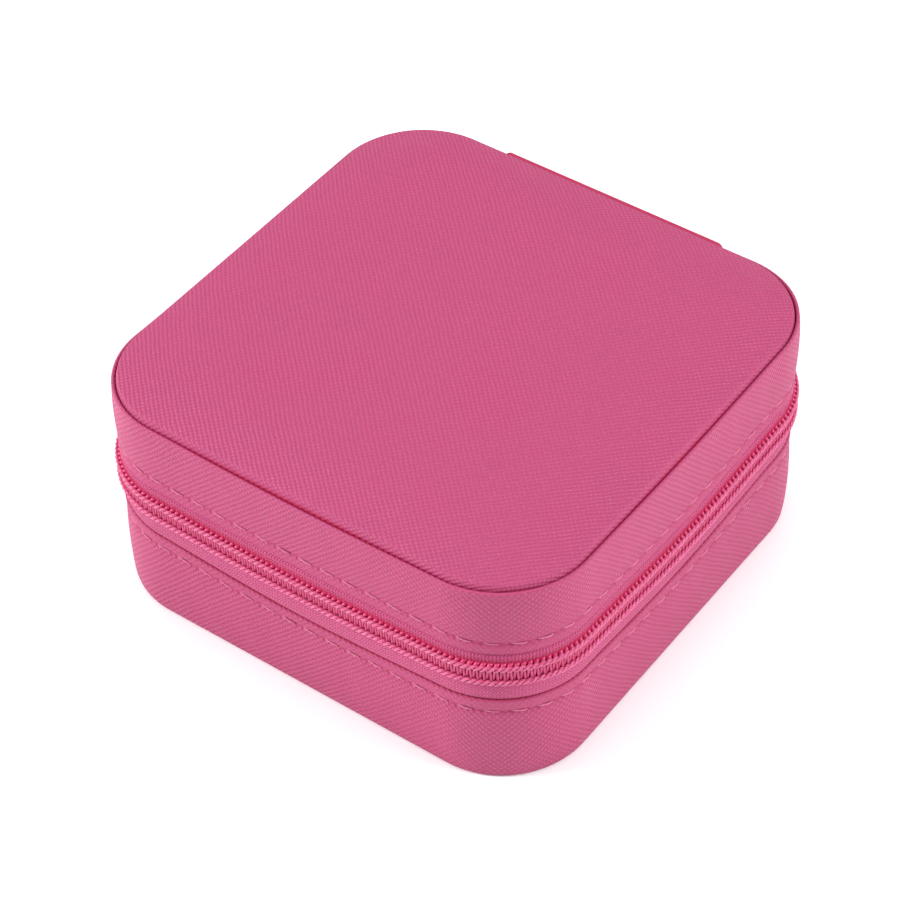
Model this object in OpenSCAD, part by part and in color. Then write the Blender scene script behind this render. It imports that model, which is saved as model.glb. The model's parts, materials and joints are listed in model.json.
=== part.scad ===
// A small square travel case for jewellery, in stitched leather over stiff board.
// The lid is joined to the base by a leather strap hinge and closed by a zip on the other sides.
// The origin is the centre of the underside: +Z is up, +Y points to the hinge, +X to the right.

/* [Case] */
// Width and depth of the closed case, without the zip's bulge
case_w = 100; // [92:1:130]
// Height of the closed case at the middle of its padded top
case_h = 50; // [46:1:60]
// Radius of the upright corners, on the outside
corner_r = 18; // [15:1:22]
// Height of the plane where the lid meets the base
part_z = 27.6; // [26:0.2:29]

/* [Leather and boards] */
// Thickness of the leather
leather_t = 1; // [0.8:0.1:1]
// Height of the base leather band's upper edge
base_band_top = 20.5; // [19:0.5:21]
// Height of the lid leather band's lower edge
lid_band_bottom = 33; // [32.5:0.5:34]
// Radius of the rounded bottom edge
bottom_edge_r = 2; // [1.5:0.5:2.5]
// Rise of the padded top from its edge to its middle
dome_rise = 1.8; // [1:0.1:2.4]
// Distance from the edge over which the padded top rises
dome_run = 12; // [9:0.5:16]
// Thickness of the stiff board in the walls
wall_board_t = 1.5; // [1.2:0.1:1.5]
// Thickness of the velvet lining with its thin foam
lining_t = 1.5; // [1.4:0.1:1.8]

/* [Zip and hinge] */
// Width of the meshed zip coil
coil_w = 6.2; // [5.6:0.1:6.4]
// Travel of the slider along the straight part of the left wall
slider_travel = 48; // [20:1:48]
// Length of the slider's pull tab from its eye
pull_tab_l = 20; // [14:1:22]
// Width of the hinge strap on the back
strap_w = 50; // [40:1:54]
// Thickness of the hinge strap
strap_t = 1.3; // [1:0.1:1.4]

/* [Inside] */
// Height of the long partition above the underside
partition_top = 21; // [18:0.5:21]
// Thickness of the lift-out cross dividers
divider_t = 2; // [1.6:0.1:2]
// Width of a necklace strap
hook_w = 9; // [8:0.5:10]
// Length of a necklace strap from its fold to its tip
hook_l = 19; // [16:0.5:19]

/* [Hidden] */
$fn = 64;
eps = 0.01;

half_w = case_w / 2;
parting_gap = 0.3;       // each half's rim stops this far from the parting plane

// Wall layers, as distances inward from the outer skin
tape_in = leather_t + 0.05;
tape_t = 0.6;
board_in = 2.9;
lining_in = board_in + wall_board_t;
cavity_in = lining_in + lining_t;
cavity_half = half_w - cavity_in;

// Base heights
base_board_t = 2;
base_board_top = leather_t + base_board_t;
floor_z = base_board_top + 1.4;
base_rim = part_z - parting_gap;
rim_t = 0.3;             // lining that is turned over the rims

// Lid heights, from the top down
top_edge_z = case_h - dome_rise;
band_rim_z = top_edge_z + 0.6;
lid_board_top = top_edge_z - 2;
lid_board_t = 1.6;
lid_board_bottom = lid_board_top - lid_board_t;
ceiling_z = lid_board_bottom - 1.4;
lid_rim = part_z + parting_gap;
top_panel_in = leather_t + 0.2;

// Zip
tape_half_w = 10;
base_foam_top = part_z - tape_half_w - 1;
lid_foam_bottom = part_z + tape_half_w + 0.4;
tape_gap = 0.2;          // each tape stops this far from the parting plane
coil_proud = 1;          // the coil stands this far out of the skin
coil_gap = 0.1;
coil_end_x = strap_w / 2 + 3.5;
tape_end_x = strap_w / 2 - 3;
slider_y = slider_travel / 2;
slider_l = 11;
slider_w = 9;
outer_blade_in = -1.2;   // its inner face, outside the skin
outer_blade_t = 0.9;
inner_blade_in = 1.9;
inner_blade_t = 0.8;
blade_face = outer_blade_in - outer_blade_t;
tab_t = 0.8;
tab_gap = 0.25;
crown_in = blade_face - tab_gap - tab_t - 0.15;
crown_t = 0.9;
leg_spacing = 7;
leg_r = 0.6;
tab_eye_r = 1.2;
tab_eye_rim_r = 2.7;
tab_y = slider_y + leg_spacing / 2;
post_l = 3;
post_w = 1.4;

// Strap hinge
strap_bottom = 4;
strap_top = top_edge_z - 0.4;
hinge_lining_half_h = 8;

// Ring rolls and dividers
partition_x = 0;
partition_t = 2.4;
roll_count = 6;
roll_pitch = 2 * cavity_half / roll_count;
roll_r = roll_pitch / 2 - 0.15;
roll_sink = 0.6;         // the foam is flattened this much on the floor
groove_depth = 0.8;
groove_w = divider_t + 0.4;
rib_depth = 0.8;
rib_w = 1;
divider_top = partition_top - 1;
divider_y = (2 * cavity_half - 2 * divider_t) / 6 + divider_t / 2;

// Necklace straps
hook_spacing = 27;
hook_fold_y = -20;
hook_t = 1;
hook_mid_z = ceiling_z - 1.2;
snap_y = hook_fold_y - hook_l + hook_w / 2;
snap_hole_r = 2;
snap_bore_r = 1.3;
stud_post_r = 1.05;
cap_r = 4;
cap_t = 1.2;

// Lid pocket
pocket_half_w = 36;
pocket_front_y = 4;
pocket_back_y = 42;
pocket_depth = 5.8;
pocket_t = 0.8;
pocket_face_z = ceiling_z - pocket_depth;

leather_pink = [0.85, 0.38, 0.55];
zip_pink = [0.89, 0.22, 0.51];
velvet_pink = [0.93, 0.72, 0.78];
metal_gold = [0.83, 0.69, 0.45];
board_grey = [0.75, 0.73, 0.70];
foam_white = [0.93, 0.92, 0.89];

// ---------- Shared shapes ----------

// The case's outline, moved inward by inset
module outline(inset) {
    w = case_w - 2 * inset;
    r = corner_r - inset;
    square([w, w - 2 * r], center = true);
    square([w - 2 * r, w], center = true);
    for (x = [-1, 1], y = [-1, 1])
        translate([x * (w / 2 - r), y * (w / 2 - r)])
            circle(r);
}

// A flat plate with the case's outline
module plate(inset, bottom, top) {
    translate([0, 0, bottom])
        linear_extrude(top - bottom)
            outline(inset);
}

// A wall that follows the case's outline, between two insets
module wall(outer_in, inner_in, bottom, top) {
    translate([0, 0, bottom])
        linear_extrude(top - bottom)
            difference() {
                outline(outer_in);
                outline(inner_in);
            }
}

// A closed section of [inset, height] points, carried right round the case
module carry_round(section) {
    run = case_w - 2 * corner_r;
    for (turn = [0 : 3])
        rotate(90 * turn) {
            translate([0, run / 2, 0])
                rotate([90, 0, 0])
                    linear_extrude(run)
                        polygon([for (p = section) [half_w - p[0], p[1]]]);
            translate([half_w - corner_r, half_w - corner_r, 0])
                rotate_extrude(angle = 90)
                    polygon([for (p = section) [corner_r - p[0], p[1]]]);
        }
}

// Keeps the whole wall but for a stretch of the back, half_x to each side of the middle
module open_at_back(half_x) {
    difference() {
        children();
        translate([-half_x, 0, -eps])
            cube([2 * half_x, case_w, case_h + 2 * eps]);
    }
}

// The notch that the slider's post stands in
module post_notch() {
    translate([-half_w - 2, tab_y - post_l / 2 - 0.3, part_z - post_w / 2 - 0.25])
        cube([5, post_l + 0.6, post_w + 0.5]);
}

// A quarter of a circle in a section, from angle a to angle b
function arc(centre, radius, a, b, steps = 6) =
    [for (i = [0 : steps]) centre + radius * [cos(a + (b - a) * i / steps), sin(a + (b - a) * i / steps)]];

// Height of the padded top at a distance from its edge
function dome(distance) = case_h - dome_rise * pow(max(0, 1 - distance / dome_run), 2.2);

// ---------- Base ----------

module base_leather_bottom() {
    color(leather_pink)
        plate(bottom_edge_r, 0, leather_t);
}

module base_leather_band() {
    centre = [bottom_edge_r, bottom_edge_r];
    color(leather_pink)
        carry_round(concat(
            [[0, base_band_top]],
            arc(centre, bottom_edge_r, 180, 270),
            arc(centre, bottom_edge_r - leather_t, 270, 180),
            [[leather_t, base_band_top]]
        ));
}

module base_bottom_board() {
    color(board_grey)
        plate(lining_in, leather_t, base_board_top);
}

module base_wall_foam() {
    color(foam_white)
        wall(leather_t, board_in, bottom_edge_r, base_foam_top);
}

module base_wall_board() {
    color(board_grey)
        wall(board_in, lining_in, leather_t, base_rim - rim_t);
}

module base_lining_floor() {
    color(velvet_pink)
        plate(lining_in, base_board_top, floor_z);
}

// The wall lining, with a pair of small ribs that guide the end of each cross divider
module base_lining_wall() {
    color(velvet_pink) {
        wall(lining_in, cavity_in, floor_z, base_rim - rim_t);
        wall(board_in, cavity_in, base_rim - rim_t, base_rim);
        for (divider = [-1, 1], side = [-1, 1])
            translate([
                cavity_half - rib_depth,
                divider * divider_y + side * (groove_w + rib_w) / 2 - rib_w / 2,
                floor_z
            ])
                cube([rib_depth + eps, rib_w, divider_top - floor_z]);
    }
}

module ring_roll(number) {
    roll_y = (number - (roll_count + 1) / 2) * roll_pitch;
    roll_l = cavity_half + partition_x - 0.4;
    color(velvet_pink)
        intersection() {
            translate([-cavity_half, roll_y, floor_z + roll_r - roll_sink])
                rotate([0, 90, 0])
                    cylinder(h = roll_l, r = roll_r);
            plate(cavity_in + 0.2, floor_z, part_z);
        }
}

module long_partition() {
    color(velvet_pink)
        difference() {
            translate([partition_x, -cavity_half + 0.1, floor_z])
                cube([partition_t, 2 * cavity_half - 0.2, partition_top - floor_z]);
            for (side = [-1, 1])
                translate([
                    partition_x + partition_t - groove_depth,
                    side * divider_y - groove_w / 2,
                    floor_z - eps
                ])
                    cube([partition_t, groove_w, partition_top]);
        }
}

module cross_divider(side) {
    clearance = 0.2;
    start_x = partition_x + partition_t - groove_depth + clearance;
    end_x = cavity_half - clearance;
    color(velvet_pink)
        translate([start_x, side * divider_y - divider_t / 2, floor_z])
            cube([end_x - start_x, divider_t, divider_top - floor_z]);
}

// ---------- Zip ----------

module zip_tape(bottom, top) {
    color(zip_pink)
        difference() {
            open_at_back(tape_end_x)
                wall(tape_in, tape_in + tape_t, bottom, top);
            post_notch();
        }
}

// Half of the coil: a bead with a rounded outer corner, on the tape's outside
module zip_coil(up) {
    inner_z = part_z + up * coil_gap;
    outer_z = part_z + up * coil_w / 2;
    bevel = 0.6;
    color(zip_pink)
        difference() {
            open_at_back(coil_end_x)
                carry_round([
                    [tape_in, inner_z],
                    [-coil_proud, inner_z],
                    [-coil_proud, outer_z - up * bevel],
                    [bevel - coil_proud, outer_z],
                    [tape_in, outer_z]
                ]);
            post_notch();
        }
}

// The metal clips at the two ends of one coil
module zip_stops(up) {
    clip = [1.6, 2 * coil_proud, 2.8];
    color(metal_gold)
        for (side = [-1, 1])
            translate([
                side * (coil_end_x - 0.2 - clip[0] / 2) - clip[0] / 2,
                half_w - coil_proud,
                part_z + (up > 0 ? parting_gap : -parting_gap - clip[2])
            ])
                cube(clip);
}

// A blade of the slider, as a plate that lies along the left wall
module blade(inset, thickness) {
    nose_r = slider_w / 2 - 1;
    shoulder_r = 1.5;
    translate([-half_w + inset, 0, 0])
        rotate([90, 0, 90])
            linear_extrude(thickness)
                union() {
                    translate([slider_y - slider_l / 2 + nose_r, part_z])
                        circle(nose_r);
                    translate([slider_y - slider_l / 2 + nose_r, part_z - nose_r])
                        square([slider_l - nose_r - shoulder_r, 2 * nose_r]);
                    translate([slider_y - 1, part_z - slider_w / 2])
                        square([slider_l / 2 + 1 - shoulder_r, slider_w]);
                    translate([slider_y, part_z - slider_w / 2 + shoulder_r])
                        square([slider_l / 2, slider_w - 2 * shoulder_r]);
                    for (z = [-1, 1])
                        translate([
                            slider_y + slider_l / 2 - shoulder_r,
                            part_z + z * (slider_w / 2 - shoulder_r)
                        ])
                            circle(shoulder_r);
                }
}

module zip_slider() {
    flange_t = 0.7;
    flange_in = 0.7;
    color(metal_gold) {
        blade(outer_blade_in - outer_blade_t, outer_blade_t);
        blade(inner_blade_in, inner_blade_t);
        // the post that parts the coils
        translate([-half_w + outer_blade_in - eps, tab_y - post_l / 2, part_z - post_w / 2])
            cube([inner_blade_in - outer_blade_in + 2 * eps, post_l, post_w]);
        // the flanges that hold the coils in the channel
        for (z = [-1, 1])
            translate([
                -half_w + outer_blade_in - eps,
                slider_y - 1,
                part_z + z * (slider_w - flange_t) / 2 - flange_t / 2
            ])
                cube([flange_in - outer_blade_in, slider_l / 2 - 0.5, flange_t]);
        // the bridge that holds the pull tab: two legs and a crown
        for (y = [-1, 1])
            translate([-half_w + blade_face + eps, slider_y + y * leg_spacing / 2, part_z])
                rotate([0, -90, 0])
                    cylinder(h = blade_face - crown_in + 2 * eps, r = leg_r);
        translate([-half_w + crown_in - crown_t, slider_y, part_z])
            rotate([90, 0, 90])
                linear_extrude(crown_t)
                    union() {
                        square([leg_spacing, 3], center = true);
                        for (y = [-1, 1])
                            translate([y * leg_spacing / 2, 0])
                                circle(1.5);
                    }
    }
}

module zip_pull_tab() {
    neck_w = 3.6;
    foot_r = 3;
    color(metal_gold)
        translate([-half_w + blade_face - tab_gap - tab_t, tab_y, part_z])
            rotate([90, 0, 90])
                linear_extrude(tab_t)
                    difference() {
                        union() {
                            circle(tab_eye_rim_r);
                            translate([-neck_w / 2, -pull_tab_l + foot_r])
                                square([neck_w, pull_tab_l - foot_r]);
                            translate([0, -pull_tab_l + foot_r])
                                circle(foot_r);
                            translate([0, -pull_tab_l + foot_r])
                                polygon([[-foot_r, 0], [foot_r, 0], [neck_w / 2, 8], [-neck_w / 2, 8]]);
                        }
                        circle(tab_eye_r);
                        translate([0, -pull_tab_l + foot_r])
                            circle(1.2);
                    }
}

// ---------- Hinge ----------

module hinge_strap() {
    end_r = 3;
    color(leather_pink)
        translate([0, half_w + strap_t, 0])
            rotate([90, 0, 0])
                linear_extrude(strap_t)
                    union() {
                        translate([-strap_w / 2, strap_bottom + end_r])
                            square([strap_w, strap_top - strap_bottom - 2 * end_r]);
                        translate([-strap_w / 2 + end_r, strap_bottom])
                            square([strap_w - 2 * end_r, strap_top - strap_bottom]);
                        for (x = [-1, 1], z = [strap_bottom + end_r, strap_top - end_r])
                            translate([x * (strap_w / 2 - end_r), z])
                                circle(end_r);
                    }
}

module hinge_lining() {
    color(velvet_pink)
        translate([
            -tape_end_x + 0.5,
            half_w - tape_in - tape_t,
            part_z - hinge_lining_half_h
        ])
            cube([2 * tape_end_x - 1, tape_t, 2 * hinge_lining_half_h]);
}

// ---------- Lid ----------

// The padded top: its upper face follows the dome, its lower face is parallel to it
module lid_leather_top() {
    edge_r = 0.7;
    steps = 8;
    flat_in = top_panel_in + dome_run;
    ramp = [for (i = [0 : steps]) edge_r + (dome_run - edge_r) * i / steps];
    upper = [for (d = ramp) [top_panel_in + d, dome(d)]];
    lower = [for (i = [steps : -1 : 0]) [top_panel_in + ramp[i], dome(ramp[i]) - leather_t]];
    edge_z = dome(edge_r);
    color(leather_pink) {
        carry_round(concat(
            [[top_panel_in, edge_z - leather_t], [top_panel_in, edge_z - edge_r]],
            arc([top_panel_in + edge_r, edge_z - edge_r], edge_r, 180, 90),
            [for (i = [1 : steps]) upper[i]],
            lower
        ));
        plate(flat_in, case_h - leather_t, case_h);
    }
}

module lid_leather_band() {
    rim_r = 0.6;
    color(leather_pink)
        carry_round(concat(
            [[leather_t, lid_band_bottom], [0, lid_band_bottom]],
            arc([rim_r, band_rim_z - rim_r], rim_r, 180, 90),
            [[leather_t, band_rim_z]]
        ));
}

module lid_foam_pad() {
    steps = 8;
    pad_in = top_panel_in + 1;
    color(foam_white) {
        carry_round(concat(
            [[top_panel_in + dome_run, lid_board_top], [pad_in, lid_board_top]],
            [for (i = [0 : steps])
                let (d = 1 + (dome_run - 1) * i / steps)
                [top_panel_in + d, dome(d) - leather_t - 0.1]]
        ));
        plate(top_panel_in + dome_run, lid_board_top, case_h - leather_t - 0.1);
    }
}

module lid_top_board() {
    color(board_grey)
        plate(board_in, lid_board_bottom, lid_board_top);
}

module lid_wall_foam() {
    color(foam_white)
        wall(leather_t, board_in, lid_foam_bottom, lid_board_top);
}

module lid_wall_board() {
    color(board_grey)
        wall(board_in, lining_in, lid_rim + rim_t, lid_board_bottom);
}

module lid_lining_panel() {
    color(velvet_pink)
        plate(lining_in, ceiling_z, lid_board_bottom);
}

module lid_lining_wall() {
    color(velvet_pink) {
        wall(lining_in, cavity_in, lid_rim + rim_t, ceiling_z);
        wall(board_in, cavity_in, lid_rim, lid_rim + rim_t);
    }
}

// The pocket's outline, set in from its sides and back by inset
module pocket_outline(inset, front_y) {
    corner = 8;
    side = pocket_half_w - inset;
    back = pocket_back_y - inset;
    r = corner - inset;
    translate([-side, front_y])
        square([2 * side, back - r - front_y]);
    translate([-side + r, front_y])
        square([2 * (side - r), back - front_y]);
    for (x = [-1, 1])
        translate([x * (side - r), back - r])
            circle(r);
}

module lid_pocket() {
    color(velvet_pink)
        difference() {
            translate([0, 0, pocket_face_z])
                linear_extrude(pocket_depth)
                    pocket_outline(0, pocket_front_y);
            translate([0, 0, pocket_face_z + pocket_t])
                linear_extrude(pocket_depth)
                    pocket_outline(pocket_t, pocket_front_y - 1);
        }
}

// The elastic that is folded over the pocket's open edge
module pocket_elastic() {
    fold_w = 5;
    fold_t = 0.6;
    low = pocket_face_z - fold_t;
    high = pocket_face_z + pocket_t + fold_t;
    side = pocket_half_w - pocket_t;
    color(velvet_pink)
        translate([-side, 0, 0])
            rotate([90, 0, 90])
                linear_extrude(2 * side)
                    polygon([
                        [pocket_front_y + fold_w, low],
                        [pocket_front_y - fold_t, low],
                        [pocket_front_y - fold_t, high],
                        [pocket_front_y + fold_w, high],
                        [pocket_front_y + fold_w, high - fold_t],
                        [pocket_front_y, high - fold_t],
                        [pocket_front_y, low + fold_t],
                        [pocket_front_y + fold_w, low + fold_t]
                    ]);
}

// ---------- Necklace straps ----------

function hook_x(number) = (number - 2) * hook_spacing;

module hook_strap(number) {
    tip_r = hook_w / 2;
    color(leather_pink)
        translate([hook_x(number), 0, hook_mid_z - hook_t / 2])
            linear_extrude(hook_t)
                difference() {
                    union() {
                        translate([-tip_r, snap_y])
                            square([hook_w, hook_fold_y - snap_y]);
                        translate([0, snap_y])
                            circle(tip_r);
                    }
                    translate([0, snap_y])
                        circle(snap_hole_r);
                }
}

// The cap: a disc under the strap and a sleeve that lines the strap's hole
module snap_cap(number) {
    strap_low = hook_mid_z - hook_t / 2;
    color(metal_gold)
        translate([hook_x(number), snap_y, 0])
            difference() {
                union() {
                    translate([0, 0, strap_low - cap_t])
                        cylinder(h = cap_t, r = cap_r);
                    translate([0, 0, strap_low - eps])
                        cylinder(h = hook_t + eps, r = snap_hole_r - 0.05);
                }
                translate([0, 0, strap_low])
                    cylinder(h = hook_t + 1, r = snap_bore_r);
            }
}

// The stud: a flange on the lid panel and a post that the cap snaps on
module snap_stud(number) {
    flange_t = 0.5;
    flange_r = 3.2;
    post_low = hook_mid_z - hook_t / 2 + 0.15;
    color(metal_gold)
        translate([hook_x(number), snap_y, 0]) {
            translate([0, 0, ceiling_z - flange_t])
                cylinder(h = flange_t, r = flange_r);
            translate([0, 0, post_low])
                cylinder(h = ceiling_z - post_low, r = stud_post_r);
        }
}

// ---------- Nodes ----------

base_leather_bottom();
base_leather_band();
base_bottom_board();
base_wall_foam();
base_wall_board();
base_lining_floor();
base_lining_wall();
ring_roll(1);  // ring_roll_1
ring_roll(2);  // ring_roll_2
ring_roll(3);  // ring_roll_3
ring_roll(4);  // ring_roll_4
ring_roll(5);  // ring_roll_5
ring_roll(6);  // ring_roll_6
long_partition();
cross_divider(-1);  // cross_divider_1
cross_divider(1);  // cross_divider_2
zip_tape(part_z - tape_half_w, part_z - tape_gap);  // zip_tape_base
zip_coil(-1);  // zip_coil_base
zip_stops(-1);  // zip_stops_base
zip_tape(part_z + tape_gap, part_z + tape_half_w);  // zip_tape_lid
zip_coil(1);  // zip_coil_lid
zip_stops(1);  // zip_stops_lid
zip_slider();
zip_pull_tab();
hinge_strap();
hinge_lining();
lid_leather_top();
lid_leather_band();
lid_foam_pad();
lid_top_board();
lid_wall_foam();
lid_wall_board();
lid_lining_panel();
lid_lining_wall();
lid_pocket();
pocket_elastic();
hook_strap(1);  // hook_strap_1
hook_strap(2);  // hook_strap_2
hook_strap(3);  // hook_strap_3
snap_cap(1);  // snap_cap_1
snap_cap(2);  // snap_cap_2
snap_cap(3);  // snap_cap_3
snap_stud(1);  // snap_stud_1
snap_stud(2);  // snap_stud_2
snap_stud(3);  // snap_stud_3
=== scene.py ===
"""The looks of a small leather jewellery case with a zip, built round its CAD frame.

Lengths are millimetres in this script, and become metres when a mesh or an object is made.
"""
import json
import math
from collections import namedtuple

import bmesh
import bpy
import numpy as np
from mathutils import Matrix, Vector


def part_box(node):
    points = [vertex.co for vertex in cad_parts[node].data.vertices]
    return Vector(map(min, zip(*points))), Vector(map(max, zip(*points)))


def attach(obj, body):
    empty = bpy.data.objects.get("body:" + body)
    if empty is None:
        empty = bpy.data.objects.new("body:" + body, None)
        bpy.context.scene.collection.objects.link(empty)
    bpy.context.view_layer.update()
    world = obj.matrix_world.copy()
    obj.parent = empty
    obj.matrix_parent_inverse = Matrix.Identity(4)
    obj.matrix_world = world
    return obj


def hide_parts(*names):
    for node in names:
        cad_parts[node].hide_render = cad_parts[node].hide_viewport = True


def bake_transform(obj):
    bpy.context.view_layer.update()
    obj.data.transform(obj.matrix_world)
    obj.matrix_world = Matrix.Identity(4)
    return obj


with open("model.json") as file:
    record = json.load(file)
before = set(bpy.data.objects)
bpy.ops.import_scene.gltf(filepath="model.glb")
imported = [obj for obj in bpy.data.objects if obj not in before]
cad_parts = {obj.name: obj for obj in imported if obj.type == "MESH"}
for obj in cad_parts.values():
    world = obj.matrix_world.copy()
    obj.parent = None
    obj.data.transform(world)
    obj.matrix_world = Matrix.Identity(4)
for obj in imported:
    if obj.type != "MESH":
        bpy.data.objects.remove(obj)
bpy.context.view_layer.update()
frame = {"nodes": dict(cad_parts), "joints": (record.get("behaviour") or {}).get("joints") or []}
MM = 0.001
TURN = 2 * math.pi
WELD = 0.001             # points nearer than this are joined, in millimetres


# ---------- Places, from the frame ----------

def box(node):
    """A node's lowest and highest corners."""
    low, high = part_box(node)
    return np.array(low) / MM, np.array(high) / MM


def middle_and_half(node):
    """A node's middle, and half its size."""
    low, high = box(node)
    return (low + high) / 2, (high - low) / 2


def joint_place(name):
    """The point that a joint turns about."""
    joint = next(j for j in frame["joints"] if j["name"] == name)
    return np.array(joint["pos_m"]) / MM


LID_LOW, LID_HIGH = box("lid_leather_band")
HALF = LID_HIGH[0]
CORNER = 18.0
LEATHER = 1.0
PART_Z = joint_place("lid_hinge")[2]
RIM_Z = LID_HIGH[2]
FLOOR_Z = box("base_lining_floor")[1][2]
CEILING_Z = box("lid_lining_panel")[0][2]


class Outline:
    """A rounded rectangle. s runs from the middle of its +Y side, anticlockwise from above."""

    def __init__(self, half_x, half_y, radius):
        self.half_x, self.half_y, self.radius = half_x, half_y, radius
        self.run_x, self.run_y = 2 * (half_x - radius), 2 * (half_y - radius)
        self.bend = TURN / 4 * radius
        self.length = 2 * (self.run_x + self.run_y + 2 * self.bend)

    def at(self, s):
        """Points on the outline at s, and the normals that point outward there."""
        along = (np.asarray(s, float) + self.run_x / 2) % self.length
        half = np.floor(along / (self.length / 2))
        rest = along - half * self.length / 2
        first = rest < self.run_x + self.bend
        rest = np.where(first, rest, rest - self.run_x - self.bend)
        run = np.where(first, self.run_x, self.run_y)
        reach = np.where(first, self.half_y, self.half_x) - self.radius
        start = (2 * half + np.where(first, 1, 2)) * TURN / 4
        turn = np.clip((rest - run) / max(self.radius, 1e-6), 0, None)
        out, left = stacked(np.cos(start), np.sin(start)), stacked(-np.sin(start), np.cos(start))
        shift = np.minimum(rest, run) - run / 2
        normal = stacked(np.cos(start + turn), np.sin(start + turn))
        return out * reach[..., None] + left * shift[..., None] + self.radius * normal, normal

    def place(self, s, inset, z):
        """Points inward of the outline by inset, at height z."""
        point, normal = self.at(s)
        x, y = point[..., 0] - normal[..., 0] * inset, point[..., 1] - normal[..., 1] * inset
        return stacked(x, y, z)

    def depth(self, x, y):
        """Distance inward from the outline."""
        over_x = np.abs(x) - (self.half_x - self.radius)
        over_y = np.abs(y) - (self.half_y - self.radius)
        corner = np.hypot(np.maximum(over_x, 0), np.maximum(over_y, 0))
        return self.radius - corner - np.minimum(np.maximum(over_x, over_y), 0)

    def inward(self, inset):
        """The same outline, moved inward."""
        return Outline(self.half_x - inset, self.half_y - inset, self.radius - inset)


def stacked(*values):
    """Points from their coordinates, or rows from their parts."""
    return np.stack(np.broadcast_arrays(*values), axis=-1)


def smooth(value, low, high):
    """0 at low, 1 at high, and an even curve between."""
    t = np.clip((value - low) / (high - low), 0, 1)
    return t * t * (3 - 2 * t)


CASE = Outline(HALF, HALF, CORNER)


def bow(s):
    """How the leather edges and the zip bow: up at the corners, down between them.

    The left and back walls, where the slider and the hinge are, stay straight."""
    s = np.asarray(s) % CASE.length
    seen = smooth(s, 110, 128) * (1 - smooth(s, 322, 342))
    return -np.cos(4 * TURN * s / CASE.length) * seen


def sag(s):
    """How far the middle of the right wall hangs below the front wall."""
    middle, reach = 0.75 * CASE.length, 34
    return np.cos(TURN / 4 * np.clip((np.asarray(s) % CASE.length - middle) / reach, -1, 1)) ** 2


def zip_z(s):
    return PART_Z - 0.1 + 0.6 * bow(s) - 0.8 * sag(s)


def rim_z(s):
    """The lid's top edge, which rises at the corners and towards the hinge."""
    return RIM_Z - 1.05 + 0.4 * bow(s) + 0.25 * CASE.at(s)[0][..., 1] / HALF


def round_edge(depth, radius):
    """0 at an edge and 1 from radius inward, along a quarter circle."""
    t = np.clip(depth / radius, 0, 1)
    return np.sqrt(np.maximum(0, 1 - (1 - t) ** 2))


def arch(t, power=1.0):
    """0 at t 0 and 1, and 1 between. A power below 1 makes the arch fuller."""
    return np.sin(math.pi * t) ** power


def signed_power(value, power):
    """Makes a round section from cosines and sines squarer, with a power below 1."""
    return np.sign(value) * np.abs(value) ** power


def waver(a, b, size):
    """A gentle unevenness, the same each time, from two places along a surface."""
    waves = [(7, 0.10, 0.4), (13, -0.17, 1.9), (22, 0.31, 4.0), (41, -0.23, 2.6)]
    total = sum(np.sin(k * TURN / CASE.length * a + tilt * b + start) for k, tilt, start in waves)
    return size * total / len(waves)


# ---------- Mesh helpers ----------

class Shell:
    """Gathers grids of points into one mesh, with texture places in millimetres.

    hem is 1 where leather is turned over and pressed flat. The crease mark is 1 deep in a seam or crevice,
    where crimson shade is painted into the colour."""

    def __init__(self):
        self.points, self.faces, self.uvs, self.hem, self.crease = [], [], [], [], []

    def grid(self, points, u, v, loop_u=False, loop_v=False, capped=False, hem=0, crease=0):
        """Adds an n by m grid. A loop joins its last row or column to its first."""
        n, m = points.shape[:2]
        u, v = np.asarray(u, float), np.asarray(v, float)
        first = len(self.points)
        i, j = np.meshgrid(np.arange(n - (not loop_u)), np.arange(m - (not loop_v)), indexing="ij")
        i, j = i.ravel(), j.ravel()
        steps = [(0, 0), (0, 1), (1, 1), (1, 0)]
        self.faces += (first + stacked(*((i + a) % n * m + (j + b) % m for a, b in steps))).tolist()
        self.uvs += np.stack([stacked(u[i + a], v[j + b]) for a, b in steps], 1).reshape(-1, 2).tolist()
        self.points += points.reshape(-1, 3).tolist()
        self.hem += np.broadcast_to(hem, (n, m)).ravel().tolist()
        self.crease += np.broadcast_to(crease, (n, m)).ravel().tolist()
        if capped:
            for row in (0, n - 1):
                self.faces.append([first + row * m + k for k in range(m)])
                self.uvs += [[u[row], v[k]] for k in range(m)]

    def piece(self, name, weld=0.0):
        """The gathered mesh as a new object. Points nearer than weld are joined."""
        mesh = bpy.data.meshes.new(name)
        mesh.from_pydata((np.array(self.points) * MM).tolist(), [], self.faces)
        mesh.uv_layers.new(name="place").data.foreach_set("uv", np.array(self.uvs, np.float32).ravel())
        for label, values in (("hem", self.hem), ("crease", self.crease)):
            mark = mesh.attributes.new(label, "FLOAT", "POINT")
            mark.data.foreach_set("value", np.array(values, np.float32))
        return tidied(new_object(name, mesh), weld)


def new_object(name, data):
    piece = bpy.data.objects.new(name, data)
    bpy.context.scene.collection.objects.link(piece)
    return piece


def tidied(piece, weld):
    """Joins points nearer than weld, turns the faces outward and shades them smooth."""
    work = bmesh.new()
    work.from_mesh(piece.data)
    if weld:
        bmesh.ops.remove_doubles(work, verts=work.verts, dist=weld * MM)
    bmesh.ops.recalc_face_normals(work, faces=work.faces)
    work.to_mesh(piece.data)
    work.free()
    piece.data.shade_smooth()
    return piece


def lengths(path):
    """Distance along a path of points, from 0 at its first."""
    steps = np.linalg.norm(np.diff(path, axis=0), axis=1)
    return np.concatenate([[0], np.cumsum(steps)])


def unit(vectors):
    return vectors / np.maximum(np.linalg.norm(vectors, axis=-1, keepdims=True), 1e-9)


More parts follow.
